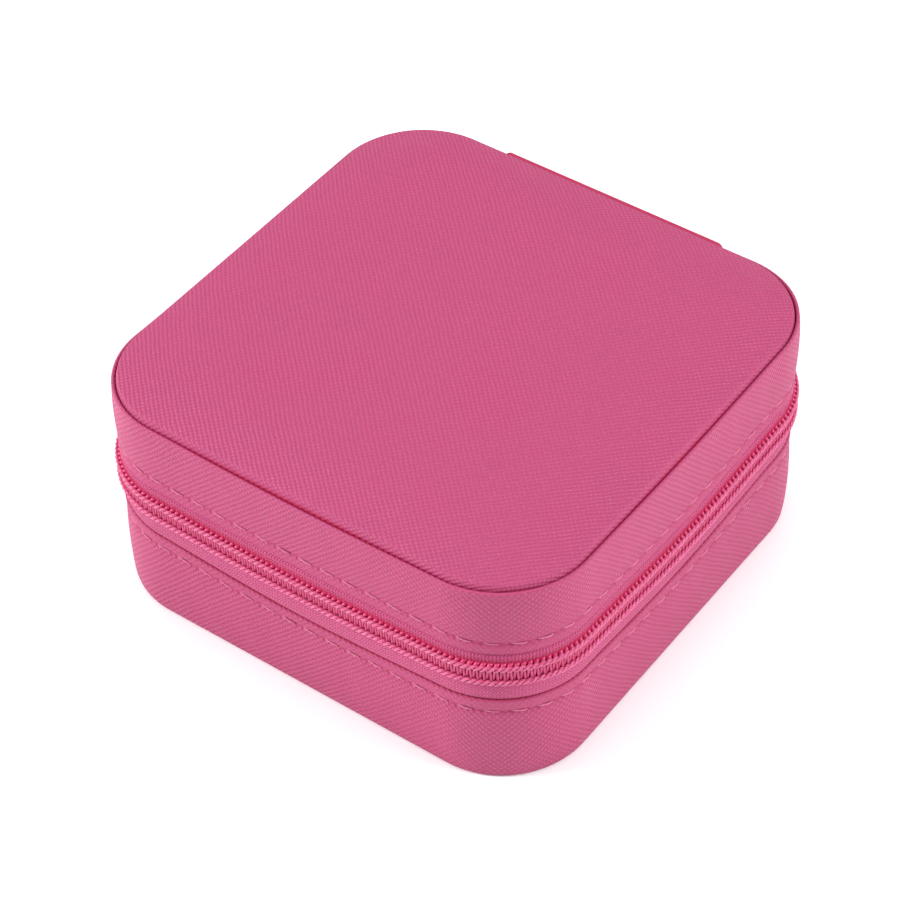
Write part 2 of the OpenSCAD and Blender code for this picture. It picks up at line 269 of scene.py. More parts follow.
def add_tube(shell, path, reference, radius, sides=8, crease=0):
    """A round bar along a path. radius may change along it and round it."""
    tangent = unit(np.gradient(path, axis=0))
    reference = np.broadcast_to(reference, path.shape)
    along = (reference * tangent).sum(axis=1, keepdims=True)
    side = unit(reference - along * tangent)
    up = np.cross(tangent, side)
    angle = np.arange(sides) * TURN / sides
    ring = np.cos(angle)[:, None] * side[:, None] + np.sin(angle)[:, None] * up[:, None]
    radius = np.broadcast_to(radius, (len(path), sides))
    v = np.linspace(0, TURN * radius.mean(), sides + 1)
    shell.grid(path[:, None] + radius[..., None] * ring, lengths(path), v, loop_v=True, capped=True,
               crease=crease)


def add_carried(shell, s, sections, loop=True, up=1, **marks):
    """A section, a loop of (inset, z) points for each s, carried along the case's outline.

    up is -1 where the section starts with its upper end, so that texture places still run up."""
    points = CASE.place(s[:, None], sections[..., 0], sections[..., 1])
    middle = sections[len(s) // 2]
    v = up * lengths(np.concatenate([middle, middle[:1]]))
    u = np.append(s, CASE.length) if loop else s
    shell.grid(points, u, v, loop_u=loop, loop_v=True, capped=not loop, **marks)


def slab_grid(outline, cells):
    """Points of a grid of rings that fills an outline, closer together near its edge."""
    t = np.linspace(-1, 1, 2 * cells + 1)
    a, b = np.meshgrid(t, t, indexing="ij")
    ring = np.maximum(np.abs(a), np.abs(b))
    wide = np.abs(b) >= np.abs(a)
    share = np.where(wide, -np.sign(b) * a, np.sign(a) * b) / np.maximum(ring, 1e-9)
    half_x, half_y = (run / 2 + outline.bend / 2 for run in (outline.run_x, outline.run_y))
    middle = np.where(wide, np.where(b > 0, 0, outline.length / 2),
                      np.where(a < 0, half_x + half_y, -half_x - half_y))
    edge, _ = outline.at(middle + share * np.where(wide, half_x, half_y))
    return edge * (1 - (1 - ring) ** 2)[..., None]


def add_slab(shell, outline, top, bottom, cells, shift=0, **marks):
    """A plate with an upper and a lower face, functions of x, y and depth that meet at depth 0.

    Its marks are functions of depth. shift moves its texture places along x."""
    xy = slab_grid(outline, cells)
    x, y = xy[..., 0], xy[..., 1]
    depth = np.maximum(outline.depth(x, y), 0)
    nudge = 0.01
    outward = unit(stacked(outline.depth(x - nudge, y) - outline.depth(x + nudge, y),
                           outline.depth(x, y - nudge) - outline.depth(x, y + nudge)))
    marks = {name: mark(depth) for name, mark in marks.items()}
    steps = np.arange(len(xy))
    for face in (top, bottom):
        first = len(shell.uvs)
        z = face(x, y, depth)
        shell.grid(stacked(x, y, z), steps, steps, **marks)
        row, column = np.array(shell.uvs[first:]).astype(int).T
        unrolled = xy + (shift, 0) + outward * np.abs(z - z[cells, cells])[..., None]
        shell.uvs[first:] = unrolled[row, column].tolist()


def slab_piece(name, outline, top, bottom, cells=60, **settings):
    shell = Shell()
    add_slab(shell, outline, top, bottom, cells, **settings)
    return shell.piece(name, WELD)


def lathe_piece(name, profile, place):
    """A profile of (radius, z) points, turned about the upright line through place."""
    angle = np.arange(48) * TURN / 48
    radius, z = np.array(profile).T[..., None]
    shell = Shell()
    shell.grid(stacked(place[0] + radius * np.cos(angle), place[1] + radius * np.sin(angle), z),
               lengths(np.array(profile)), [*angle, TURN], loop_v=True)
    return shell.piece(name, WELD)


def mesh_of(piece):
    """A piece's mesh, with its modifiers applied."""
    return bpy.data.meshes.new_from_object(piece.evaluated_get(bpy.context.evaluated_depsgraph_get()))


def changed(piece):
    """Applies a piece's modifiers."""
    mesh = mesh_of(piece)
    piece.modifiers.clear()
    old, piece.data = piece.data, mesh
    bpy.data.meshes.remove(old)
    return piece


def thickened(piece, thickness, edge):
    """Gives a sheet its thickness, evenly to both sides, and rounds its edge."""
    body = piece.modifiers.new("body", "SOLIDIFY")
    body.thickness, body.offset = thickness * MM, 0
    changed(piece)
    rounding = piece.modifiers.new("edge", "BEVEL")
    rounding.width, rounding.segments, rounding.limit_method = edge * MM, 3, "ANGLE"
    rounding.angle_limit = math.radians(40)
    changed(piece).data.shade_smooth()
    return piece


def cut_plate(name, loops, thickness, edge, place):
    """A plate cut along closed loops, with rounded edges, moved to place. Its middle is at z 0."""
    curve = bpy.data.curves.new(name, "CURVE")
    curve.dimensions, curve.fill_mode = "2D", "BOTH"
    curve.extrude = (thickness / 2 - edge) * MM
    curve.bevel_depth, curve.bevel_resolution, curve.offset = edge * MM, 3, -edge * MM
    for loop in loops:
        spline = curve.splines.new("POLY")
        spline.points.add(len(loop) - 1)
        for point, (x, y) in zip(spline.points, loop):
            point.co = (x * MM, y * MM, 0, 1)
        spline.use_cyclic_u = True
    drawn = new_object(name + "_curve", curve)
    mesh = mesh_of(drawn)
    bpy.data.objects.remove(drawn)
    mesh.transform(place)
    return tidied(new_object(name, mesh), 2 * WELD)


def joined(pieces):
    """Joins several objects into the first."""
    work = bmesh.new()
    for piece in pieces:
        work.from_mesh(piece.data)
    work.to_mesh(pieces[0].data)
    work.free()
    for piece in pieces[1:]:
        bpy.data.objects.remove(piece)
    pieces[0].data.shade_smooth()
    return pieces[0]


def crisp(piece):
    """Keeps a metal piece's flat faces flat and its edges crisp."""
    piece.data.set_sharp_from_angle(angle=math.radians(35))
    piece.modifiers.new("even", "WEIGHTED_NORMAL").keep_sharp = True
    return changed(piece)


def settle(piece, body, look, *nodes):
    """Gives a piece its look, and makes it ride on a body, or only bakes its place if it lies between two.

    It replaces the CAD nodes that are named."""
    material, slot = LOOKS[look]
    piece.data.materials.clear()
    piece.data.materials.append(material)
    if isinstance(body, str):
        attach(piece, body)
    else:
        near, far, start, end = body
        [x * MM for x in start]
        [x * MM for x in end]
        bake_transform(piece)
    if nodes:
        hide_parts(*nodes)


# ---------- Materials ----------

def linear(red, green, blue):
    """A colour given as it looks on a screen, from 0 to 255, as light."""
    values = [c / 255 for c in (red, green, blue)]
    return [c / 12.92 if c < 0.04045 else ((c + 0.055) / 1.055) ** 2.4 for c in values] + [1]


class Look:
    """A material in the making, with short names for its nodes."""

    def __init__(self, name, **shader):
        self.material = bpy.data.materials.new(name)
        self.material.use_nodes = True
        self.tree = self.material.node_tree
        self.shader = self.tree.nodes["Principled BSDF"]
        for socket, value in shader.items():
            self.shader.inputs[socket.replace("_", " ")].default_value = value

    def node(self, kind, inputs=(), **settings):
        """Adds a node, sets or links its inputs by number or name, and returns it."""
        node = self.tree.nodes.new("ShaderNode" + kind)
        for key, value in settings.items():
            setattr(node, key, value)
        pairs = inputs.items() if isinstance(inputs, dict) else enumerate(inputs)
        for key, value in pairs:
            if isinstance(value, bpy.types.NodeSocket):
                self.tree.links.new(value, node.inputs[key])
            else:
                node.inputs[key].default_value = value
        return node

    def math(self, operation, *values):
        return self.node("Math", values, operation=operation).outputs[0]

    def times(self, first, second):
        return self.math("MULTIPLY", first, second)

    def plus(self, first, second, share=1.0):
        """first, and a share of second."""
        return self.math("MULTIPLY_ADD", second, share, first)

    def ramp(self, value, low, high, out_low=0.0, out_high=1.0):
        """An even curve from out_low to out_high as value goes from low to high."""
        inputs = {"Value": value, "From Min": low, "From Max": high, "To Min": out_low, "To Max": out_high}
        return self.node("MapRange", inputs, interpolation_type="SMOOTHSTEP").outputs[0]

    def noise(self, vector, scale, detail=2.0, roughness=0.5):
        inputs = {"Vector": vector, "Scale": scale, "Detail": detail, "Roughness": roughness}
        return self.node("TexNoise", inputs).outputs["Fac"]

    def mix(self, share, first, second):
        """From first at share 0 to second at share 1. Each is a colour in the making or on a screen."""
        first, second = (linear(*c) if isinstance(c, tuple) else c for c in (first, second))
        return self.node("Mix", {0: share, 6: first, 7: second}, data_type="RGBA").outputs[2]

    def mark(self, name):
        return self.node("Attribute", attribute_name=name).outputs["Fac"]

    def surface(self):
        """Texture places along the surface, in millimetres."""
        return self.node("UVMap", uv_map="place").outputs[0]

    def space(self, stretch=(1, 1, 1)):
        """Places in the object, in millimetres."""
        inputs = {"Vector": self.node("TexCoord").outputs["Object"], "Scale": [k / MM for k in stretch]}
        return self.node("Mapping", inputs).outputs[0]

    def axes(self, vector):
        parts = self.node("SeparateXYZ", [vector])
        return parts.outputs[0], parts.outputs[1]

    def turned(self, vector, degrees, pitch):
        """The two texture axes, turned, in steps of pitch."""
        inputs = {"Vector": vector, "Rotation": (0, 0, math.radians(degrees)), "Scale": [1 / pitch] * 3}
        return self.axes(self.node("Mapping", inputs).outputs[0])

    def wandering(self, vector, scale, size):
        """The vector, moved about by up to about size."""
        cloud = self.node("TexNoise", {"Vector": vector, "Scale": scale, "Detail": 2.0}).outputs["Color"]
        centred = self.node("VectorMath", [cloud, (0.5, 0.5, 0.5)], operation="SUBTRACT").outputs[0]
        moved = self.node("VectorMath", {0: centred, "Scale": size}, operation="SCALE").outputs[0]
        return self.node("VectorMath", [vector, moved], operation="ADD").outputs[0]

    def ridges(self, value, width=0.9):
        """1 on the ridges and 0 in the grooves of a row of ridges, one for each whole number."""
        return self.ramp(self.math("PINGPONG", value, 0.5), 0.0, width / 2)

    def done(self, colour, height=None, depth=0.1, roughness=None):
        """Links the colour, the roughness and a bump that is depth millimetres high."""
        self.tree.links.new(colour, self.shader.inputs["Base Color"])
        if roughness is not None:
            self.tree.links.new(roughness, self.shader.inputs["Roughness"])
        if height is not None:
            bump = self.node("Bump", {"Strength": 1.0, "Distance": depth * MM, "Height": height})
            self.tree.links.new(bump.outputs[0], self.shader.inputs["Normal"])
        return self.material


def leather_look():
    """Cross-grained leather: small raised diamonds between two families of diagonal grooves.

    The rising ridges are the stronger ones on the front, and the falling ones on the sides."""
    look = Look("pink_leather", Specular_IOR_Level=0.45)
    place = look.surface()
    wandered = look.wandering(look.wandering(place, 0.14, 0.6), 0.6, 0.14)
    angle, pitch, front_s = 45, 0.86, 170.0
    first, second = (look.ridges(axis) for axis in look.turned(wandered, angle, pitch))
    from_front = look.math("SUBTRACT", look.axes(place)[0], front_s)
    swing = look.math("COSINE", look.times(from_front, 2 * TURN / CASE.length))
    rising = look.times(first, look.math("MULTIPLY_ADD", swing, 0.12, 0.26))
    falling = look.times(second, look.math("MULTIPLY_ADD", swing, -0.12, 0.26))
    diamonds = look.plus(look.plus(rising, falling), look.times(first, second), 0.48)
    pores, patches = look.noise(place, 3.2, 4.0, 0.65), look.noise(place, 0.045, 3.0)
    hem, crease = look.mark("hem"), look.mark("crease")
    grain = look.times(diamonds, look.ramp(patches, 0.3, 0.7, 0.78, 1.0))
    relief = look.times(grain, look.math("MULTIPLY_ADD", hem, -0.55, 1.0))
    # The grain's own tone and painted shade: the grooves are coloured darker than the raised diamonds.
    grain_and_groove_shade = look.mix(look.ramp(relief, 0.0, 0.9), (161, 47, 93), (177, 67, 114))
    cloudy = look.mix(look.ramp(patches, 0.3, 0.7, 0.0, 0.22), grain_and_groove_shade, (165, 55, 99))
    speckled = look.mix(look.ramp(pores, 0.55, 0.8, 0.0, 0.20), cloudy, (188, 88, 128))
    rubbing = look.times(hem, look.ramp(pores, 0.2, 0.7, 0.0, 0.25))
    rubbed = look.mix(rubbing, speckled, (186, 80, 124))
    # Painted shade: the crease mark turns the leather crimson deep in seams, grooves and crevices.
    colour = look.mix(crease, rubbed, (168, 12, 68))
    roughness = look.ramp(look.plus(relief, pores, 0.5), 0.55, 1.1, 0.60, 0.18)
    return look.done(colour, look.plus(relief, pores, 0.30), 0.26, roughness)


def thread_look():
    """Two-ply sewing thread, a little lighter than the leather."""
    look = Look("sewing_thread", Sheen_Weight=0.4, Sheen_Roughness=0.4, Roughness=0.55)
    across, _ = look.turned(look.surface(), 38, 0.11)
    fibres = look.times(look.ridges(across), look.noise(look.space(), 4.0, 3.0))
    colour = look.mix(look.ramp(fibres, 0.0, 0.6), (180, 70, 112), (212, 114, 152))
    return look.done(colour, fibres, 0.03)


def tape_look():
    """The zip's tape: a herringbone weave, with deep crimson shade painted where it is tucked away."""
    look = Look("zip_tape", Sheen_Weight=0.12, Sheen_Roughness=0.5, Roughness=0.75)
    place = look.wandering(look.surface(), 0.8, 0.12)
    along, up = look.axes(place)
    rib_h, rib_pitch, weft_pitch = 0.95, 0.62, 0.31
    slanted = look.math("DIVIDE", look.plus(along, look.math("PINGPONG", up, rib_h)), rib_pitch)
    twill = look.ridges(slanted, 0.8)
    weft = look.ridges(look.math("DIVIDE", up, weft_pitch), 1.0)
    weave = look.plus(look.times(twill, 0.7), weft, 0.3)
    height = look.plus(weave, look.noise(place, 4.0, 3.0, 0.7), 0.7)
    woven = look.mix(look.ramp(height, 0.25, 1.25), (146, 18, 70), (200, 68, 126))
    # Painted shade: crimson where the tape runs behind the coil and under the leather's edge.
    return look.done(look.mix(look.mark("crease"), woven, (190, 16, 82)), height, 0.17)


def coil_look():
    """The nylon coil: smooth, slightly glossy monofilament that light passes into."""
    look = Look("zip_coil", Specular_IOR_Level=0.5, Coat_Weight=0.15, Coat_Roughness=0.3,
                Subsurface_Weight=0.35, Subsurface_Scale=0.0012, Subsurface_Radius=(1.0, 0.35, 0.5))
    place = look.space()
    cloud, drawn = look.noise(place, 1.4, 3.0), look.noise(place, 7.0)
    wire = look.mix(look.ramp(cloud, 0.3, 0.7), (170, 36, 88), (186, 56, 108))
    # Painted shade: the crease mark turns the coil's outer bends crimson.
    colour = look.mix(look.mark("crease"), wire, (206, 30, 100))
    return look.done(colour, drawn, 0.02, look.ramp(cloud, 0.2, 0.8, 0.34, 0.46))


def braid_look():
    """The threads that sew the coil to its tape, with deep crimson shade painted where they pass under
    each other.
    """
    look = Look("zip_sewing", Sheen_Weight=0.3, Sheen_Roughness=0.4, Roughness=0.6)
    across, _ = look.turned(look.surface(), 30, 0.13)
    fibres, shade = look.ridges(across), look.noise(look.space(), 1.1)
    bright = look.mix(look.ramp(shade, 0.3, 0.7), (214, 84, 140), (230, 120, 166))
    thread = look.mix(look.ramp(fibres, 0.0, 0.8), (190, 34, 96), bright)
    return look.done(look.mix(look.mark("crease"), thread, (190, 10, 76)), fibres, 0.03)


def velvet_look():
    """Short-pile velvet, with lighter and darker patches of painted sheen where the pile leans another
    way.
    """
    look = Look("blush_velvet", Sheen_Weight=0.7, Sheen_Roughness=0.45, Roughness=0.9,
                Sheen_Tint=linear(255, 226, 232), Specular_IOR_Level=0.2)
    place = look.space()
    pile = look.noise(place, 4.5, 3.0, 0.7)
    lean = look.noise(look.wandering(place, 0.08, 6.0), 0.07, 3.0)
    # Painted sheen: patches lighter or darker where the pile leans, as light would catch it.
    nap_sheen = look.mix(look.ramp(lean, 0.3, 0.7), (224, 166, 182), (234, 182, 197))
    colour = look.mix(look.ramp(pile, 0.3, 0.7, 0.0, 0.35), nap_sheen, (204, 134, 156))
    return look.done(colour, pile, 0.16)


def gold_look():
    """Pale gold plating, brushed and lightly scratched."""
    look = Look("pale_gold", Metallic=1.0)
    place = look.space()
    brushing = look.noise(look.space((0.35, 6.0, 0.35)), 1.0, 4.0, 0.6)
    cloud = look.noise(place, 0.5, 3.0)
    scuffs = look.ramp(look.noise(look.wandering(place, 0.6, 2.0), 2.2, 5.0, 0.8), 0.58, 0.72)
    plated = look.mix(look.ramp(cloud, 0.3, 0.7), (206, 166, 108), (222, 186, 130))
    colour = look.mix(look.times(scuffs, 0.4), plated, (178, 138, 86))
    roughness = look.plus(look.ramp(brushing, 0.3, 0.7, 0.16, 0.30), scuffs, 0.15)
    return look.done(colour, brushing, 0.012, roughness)


def board_look():
    """Grey board, with paper fibres and darker specks."""
    look = Look("grey_board", Roughness=0.9)
    fibres = look.noise(look.space((1, 0.25, 1)), 3.0, 5.0, 0.7)
    specks = look.ramp(look.noise(look.space(), 1.7), 0.66, 0.74)
    grey = look.mix(look.ramp(fibres, 0.3, 0.7), (176, 170, 160), (208, 203, 194))
    return look.done(look.mix(look.times(specks, 0.5), grey, (132, 124, 114)), fibres, 0.05)


def foam_look():
    """Open-cell foam."""
    look = Look("white_foam", Roughness=0.95, Subsurface_Weight=0.1)
    place = look.space()
    cells = look.node("TexVoronoi", {"Vector": place, "Scale": 1.9}).outputs["Distance"]
    # Painted shade: the pores are coloured darker in their hollows.
    pore_shade = look.mix(look.ramp(cells, 0.0, 0.45), (214, 206, 190), (246, 242, 232))
    aged = look.ramp(look.noise(place, 0.3, 3.0), 0.4, 0.7, 0.0, 0.3)
    return look.done(look.mix(aged, pore_shade, (236, 226, 200)), cells, 0.25)


# Each look's material, and its slot in the record
LOOKS = {
    "leather": (leather_look(), "leather"),
    "thread": (thread_look(), None),
    "tape": (tape_look(), "zip_tape"),
    "coil": (coil_look(), "zip_coil"),
    "braid": (braid_look(), "zip_tape"),
    "velvet": (velvet_look(), "velvet"),
    "gold": (gold_look(), "gold_metal"),
    "board": (board_look(), "board"),
    "foam": (foam_look(), "foam")}


# ---------- Leather bands and their stitches ----------

STITCHES = 76
STITCH_PITCH = CASE.length / STITCHES
STITCH_GAP = 1.9
PRESSED = 0.55           # the hem mark of the walls, whose grain is pulled flatter than the top's

# body is the case half, up is its direction away from the zip, and the rest are heights for each s.
Band = namedtuple("Band", "body up edge row far_z")


def wavy(level, bowed=0.0, sagged=0.0):
    """The height for each s of a line round the case that bows and sags."""
    return lambda s: level + bowed * bow(s) - sagged * sag(s)


BASE_BAND = Band("base", -1, wavy(box("base_leather_band")[1][2] - 0.6, 1.0, 0.2), wavy(17.1, 0.8, 0.45),
                 wavy(0.9))
LID_BAND = Band("lid", 1, wavy(LID_LOW[2] - 0.5, 0.4, 1.0), wavy(LID_LOW[2] + 1.98, 0.4, 0.95), rim_z)


def band_skin(s, w, row_w, full_w):
    """How far inward of the outline a band's outer skin lies, at w from its edge by the zip."""
    local = s % STITCH_PITCH
    hole = np.minimum(np.abs(local - STITCH_GAP / 2), np.abs(local - STITCH_PITCH + STITCH_GAP / 2))
    from_row = w - row_w
    thread = 0.24 + 0.10 * np.tanh((hole - 0.5) * 4) * (local > STITCH_GAP)
    groove = thread * np.exp(-((from_row / 0.5) ** 2))
    dimple = 0.32 * np.exp(-((hole / 0.38) ** 2 + (from_row / 0.36) ** 2))
    hem_puff = 0.13 * arch(np.clip(w / row_w, 0, 1), 0.7)
    flare = 0.10 * np.exp(-w / 1.4)
    puff = 0.34 * arch(np.clip(from_row / (full_w - row_w), 0, 1), 0.6)
    return groove + dimple - hem_puff - flare - puff - waver(s, w, 0.09)


def band_piece(band, far_end, far_hem, far_crease):
    """A leather band: a turned edge, a hem, a stitched groove, a padded wall and a far end.

    far_end holds (inset, w beyond the far end) points, from the outside to the inside."""
    s = np.arange(0, CASE.length - 0.2, 0.4)
    row_w, full_w = (band.up * (line(s) - band.edge(s))[:, None] for line in (band.row, band.far_z))
    far_inset, far_w = np.array(far_end[1:]).T
    edge_r, wall_from, wall_steps, hem_steps = 0.42, 0.95, 15, 4
    angle = np.linspace(0, math.pi, 9)
    around_row = np.array([-0.62, -0.4, -0.22, -0.08, 0.08, 0.22, 0.4, 0.62, wall_from])
    hem_w = edge_r + np.linspace(0.22, 1, hem_steps) * (row_w - 0.9 - edge_r)
    wall_w = full_w + far_end[0][1] - row_w - wall_from
    wall_w = row_w + wall_from + np.linspace(0.05, 1, wall_steps) * wall_w
    outer_w = np.concatenate([hem_w, row_w + around_row, wall_w], axis=1)
    outer_inset = band_skin(s[:, None], outer_w, row_w, full_w)
    edge_skin = band_skin(s[:, None], edge_r, row_w, full_w)
    edge_inset = edge_r * (1 + np.cos(angle)) - 0.08 + edge_skin * (1 - np.cos(angle)) / 2
    same = np.zeros_like(row_w)
    insets = np.concatenate([edge_inset, outer_inset, same + far_inset], axis=1)
    w = np.concatenate([same + edge_r * (1 - np.sin(angle)), outer_w, full_w + far_w], axis=1)
    hem = np.concatenate([
        np.ones(len(angle) + hem_steps), [1, 1, 1, 0.9, 0.75, 0.6, PRESSED, PRESSED, PRESSED],
        np.full(wall_steps - 1, PRESSED), np.full(len(far_end), far_hem)])
    # Painted crimson shade: on the turned edge by the zip, in the stitch groove, and at the far end's
    # seam.
    crease = np.concatenate([
        [1, 1, 1, 0.9, 0.5, 0.15, 0, 0, 0], np.zeros(hem_steps),
        0.35 * np.exp(-((around_row / 0.3) ** 2)), np.zeros(wall_steps), far_crease])
    shell = Shell()
    z = band.edge(s)[:, None] + band.up * w
    add_carried(shell, s, stacked(insets, z), up=band.up, hem=hem, crease=crease)
    return shell.piece(f"{band.body}_band")


def band_stitches(band):
    """A row of stitches of two-ply thread. Each dives into a needle hole at both its ends."""
    sides, twists, thread_r, end_share = 10, 1.5, 0.19, 0.62
    t = np.linspace(0, 1, 15)
    lift = 0.26 * arch(t, 0.45) - 0.24
    angle = np.arange(sides) * TURN / sides
    plies = 0.80 + 0.20 * np.abs(np.cos(angle - twists * TURN * t[:, None]))
    radius = thread_r * plies * np.minimum(1, end_share + 1.6 * arch(t))[:, None]
    shell = Shell()
    for number in range(STITCHES):
        s = number * STITCH_PITCH + STITCH_GAP / 2 + (STITCH_PITCH - STITCH_GAP) * t
        inset = 0.12 - 0.04 * math.sin(number * 2.4)
        tilt = -0.34 + 0.08 * math.sin(number * 3.7)
        path = CASE.place(s, inset - lift, band.row(s) + tilt * (t - 0.5))
        add_tube(shell, path, (0, 0, 1), radius, sides)
    return shell.piece(f"{band.body}_stitches")


def sewn_band(band, far_end, far_hem, far_crease):
    piece = band_piece(band, far_end, far_hem, far_crease)
    settle(piece, band.body, "leather", f"{band.body}_leather_band")
    settle(band_stitches(band), band.body, "thread")


def base_leather():
    foot = [(0.02, 0.0), (0.10, 0.38), (0.28, 0.66), (0.56, 0.84), (0.95, 0.90), (1.55, 0.90),
            (1.95, 0.84), (2.0, 0.4), (1.7, -0.1), (LEATHER, -1.6), (LEATHER, -2.8)]
    # The last list paints crimson shade into the seam at the bottom edge.
    sewn_band(BASE_BAND, foot, 0.1, [0, 0, 0, 0, 0.3, 1, 1, 1, 1, 1])
    panel = slab_piece(
        "base_bottom_leather", CASE.inward(2.1),
        lambda x, y, d: LEATHER / 2 * (1 + round_edge(d, 0.5)),
        lambda x, y, d: LEATHER / 2 * (1 - round_edge(d, 0.5)) + 0.12 * np.exp(-((d - 3.2) / 0.5) ** 2),
        # painted crimson shade in the seam round the bottom's edge
        crease=lambda d: 0.6 * smooth(d, 0.5, 0.1))
    settle(panel, "base", "leather", "base_leather_bottom")


def lid_leather():
    rim = [(-0.02, -0.9), (-0.12, -0.5), (-0.10, -0.22), (0.04, -0.05), (0.22, 0.0), (0.46, -0.03),
           (0.58, -0.14), (0.61, -1.4), (LEATHER, -3.0)]
    # The last list paints crimson shade into the groove round the top panel.
    sewn_band(LID_BAND, rim, 0.8, [0, 0, 0, 0, 0.1, 0.7, 1, 1])
    low, high = RIM_Z - 2.5, box("lid_leather_top")[1][2]

    def dome(x, y, d):
        padding = high - 1.2 * np.clip(1 - d / 15, 0, 1) ** 2
        return padding + waver(x * 2.2, y * 0.9, 0.05) * smooth(d, 1, 8)

    top = slab_piece(
        "lid_top_leather", CASE.inward(0.63),
        lambda x, y, d: low + (dome(x, y, d) - low) * round_edge(d, 0.65),
        lambda x, y, d: low + (dome(x, y, d) - LEATHER - low) * round_edge(d, 0.65),
        # the crease mark paints crimson shade on the top's edge, deep in the groove round it
        cells=90, shift=CASE.length / 4, crease=lambda d: smooth(d, 0.14, 0.05),
        hem=lambda d: 0.5 * smooth(d, 1.2, 0.3))
    settle(top, "lid", "leather", "lid_leather_top")


# ---------- Zip ----------

COIL_PITCH = 1.15
COIL_END = box("zip_stops_base")[1][0] + 0.2
TAPE_END = 22.0

# (w, inset) points of the tapes, from the middle of the zip outward
BEHIND_COIL = [(0.25, 0.70), (1.7, 0.66), (1.78, 0.36), (1.92, 0.10), (2.1, -0.05), (2.4, -0.07)]
LID_TAPE = [*BEHIND_COIL, (2.7, 0.06), (3.0, -0.02), (3.4, -0.07), (3.8, -0.08), (4.2, -0.02),
            (4.5, 0.12), (4.8, 0.40), (5.1, 0.75), (5.6, 0.88), (9.0, 0.95)]
BASE_TAPE = [*BEHIND_COIL, (2.8, 0.08), (3.4, 0.0), (4.0, -0.05), (4.8, -0.08), (5.6, -0.06),
             (6.2, 0.0), (6.6, 0.12), (6.95, 0.40), (7.3, 0.75), (7.8, 0.88), (9.0, 0.95)]


def tape_piece(band, profile, rib_h, by_coil, by_edge):
    """A zip tape: flat under the coil, then a soft roll that tucks in behind the leather's edge.

    by_coil and by_edge say how deep its shade is there, and between which widths it fades."""
    s = np.arange(TAPE_END, CASE.length - TAPE_END, 0.155)
    w, inset = np.array(profile).T
    coil_w, roll_w = 2.6, profile[-3][0] - 0.3
    stretch = (np.abs(band.edge(s) - zip_z(s)) - coil_w) / (roll_w - coil_w)
    placed_w = np.where(w > coil_w, coil_w + (w - coil_w) * stretch[:, None], w)
    placed_w[:, -1] = np.maximum(w[-1], placed_w[:, -2] + 0.5)
    rib_pitch = 0.62
    ribs = rib_h * np.sin(TURN * s / rib_pitch)[:, None] * ((w > 2.5) & (w < roll_w))
    inner = np.broadcast_to(np.minimum(inset + 0.5, 1.62), ribs.shape)
    insets = np.concatenate([inset - ribs, inner[:, ::-1]], axis=1)
    z = zip_z(s)[:, None] + band.up * np.concatenate([placed_w, placed_w[:, ::-1]], axis=1)
    shade = np.maximum(by_coil[0] * smooth(w, *by_coil[1:]), by_edge[0] * smooth(w - roll_w, *by_edge[1:]))
    shell = Shell()
    # The shade is painted into the colour through the crease mark; the inner side gets a little too.
    add_carried(shell, s, stacked(insets, z), loop=False,
                crease=np.concatenate([shade, np.full_like(shade, 0.3)]))
    return shell.piece(f"{band.body}_zip_tape")


def coil_piece(band):
    """Half of the coil: a helix whose legs cross the zip side by side, with a long outer bend."""
    turns, steps, square = int((CASE.length - 2 * COIL_END) / COIL_PITCH), 14, 0.72
    wire_r, bend_r, half_w, half_h = 0.278, 0.22, 1.80, 0.42
    angle = np.arange(turns * steps) * TURN / steps
    start = COIL_END if band.up > 0 else COIL_END + COIL_PITCH / 2
    s = start + COIL_PITCH / TURN * (angle - np.sin(angle))
    sweep, bulge = signed_power(np.cos(angle), square), signed_power(np.sin(angle), square)
    path = CASE.place(s, -0.02 - half_h * bulge, zip_z(s) + band.up * (0.40 - half_w * sweep))
    _, normal = CASE.at(s)
    outer = np.clip(-sweep, 0, 1)[:, None]
    shell = Shell()
    add_tube(shell, path, stacked(-normal[:, 1], normal[:, 0], 0), wire_r + bend_r * outer ** 2,
             # the outer bends get painted crimson shade
             crease=0.8 * outer)
    return shell.piece(f"{band.body}_zip_coil")


def chain_stitches(band):
    """The two threads that loop round each other along the coil and hold it to the tape."""
    thread_r, row_w, swing = 0.28, 1.76, 0.36
    s = np.arange(COIL_END, CASE.length - COIL_END, 0.165)
    shell = Shell()
    for strand in range(2):
        phase = math.pi * (s / COIL_PITCH + strand)
        under = (1 + np.sin(phase)) / 2
        z = zip_z(s) + band.up * row_w + swing * np.cos(phase)
        add_tube(shell, CASE.place(s, -0.92 + 0.26 * under, z), (0, 0, 1), thread_r, sides=6,
                 # painted crimson shade where a strand passes under the other
                 crease=0.75 * under[:, None] ** 2)
    return shell.piece(f"{band.body}_coil_sewing")


def stop_piece(band):
    """The metal clips at a coil's two ends, each pressed over the coil with a waist."""
    middle, half = middle_and_half(f"zip_stops_{band.body}")
    clip_w, waist = 1.6, 0.12
    loop = [(clip_w / 2 * (1 - waist * arch(t) ** 2), half[2] * (2 * t - 1)) for t in np.linspace(0, 1, 9)]
    loop += [(-a, -b) for a, b in loop]
    parts = []
    for side in (-1, 1):
        place = Vector((side * (middle[0] + half[0] - clip_w / 2), middle[1], middle[2])) * MM
        turned = Matrix.Translation(place) @ Matrix.Rotation(TURN / 4, 4, "X")
        parts.append(cut_plate(f"{band.body}_zip_stops", [loop], 2 * half[1], 0.4, turned))
    return joined(parts)


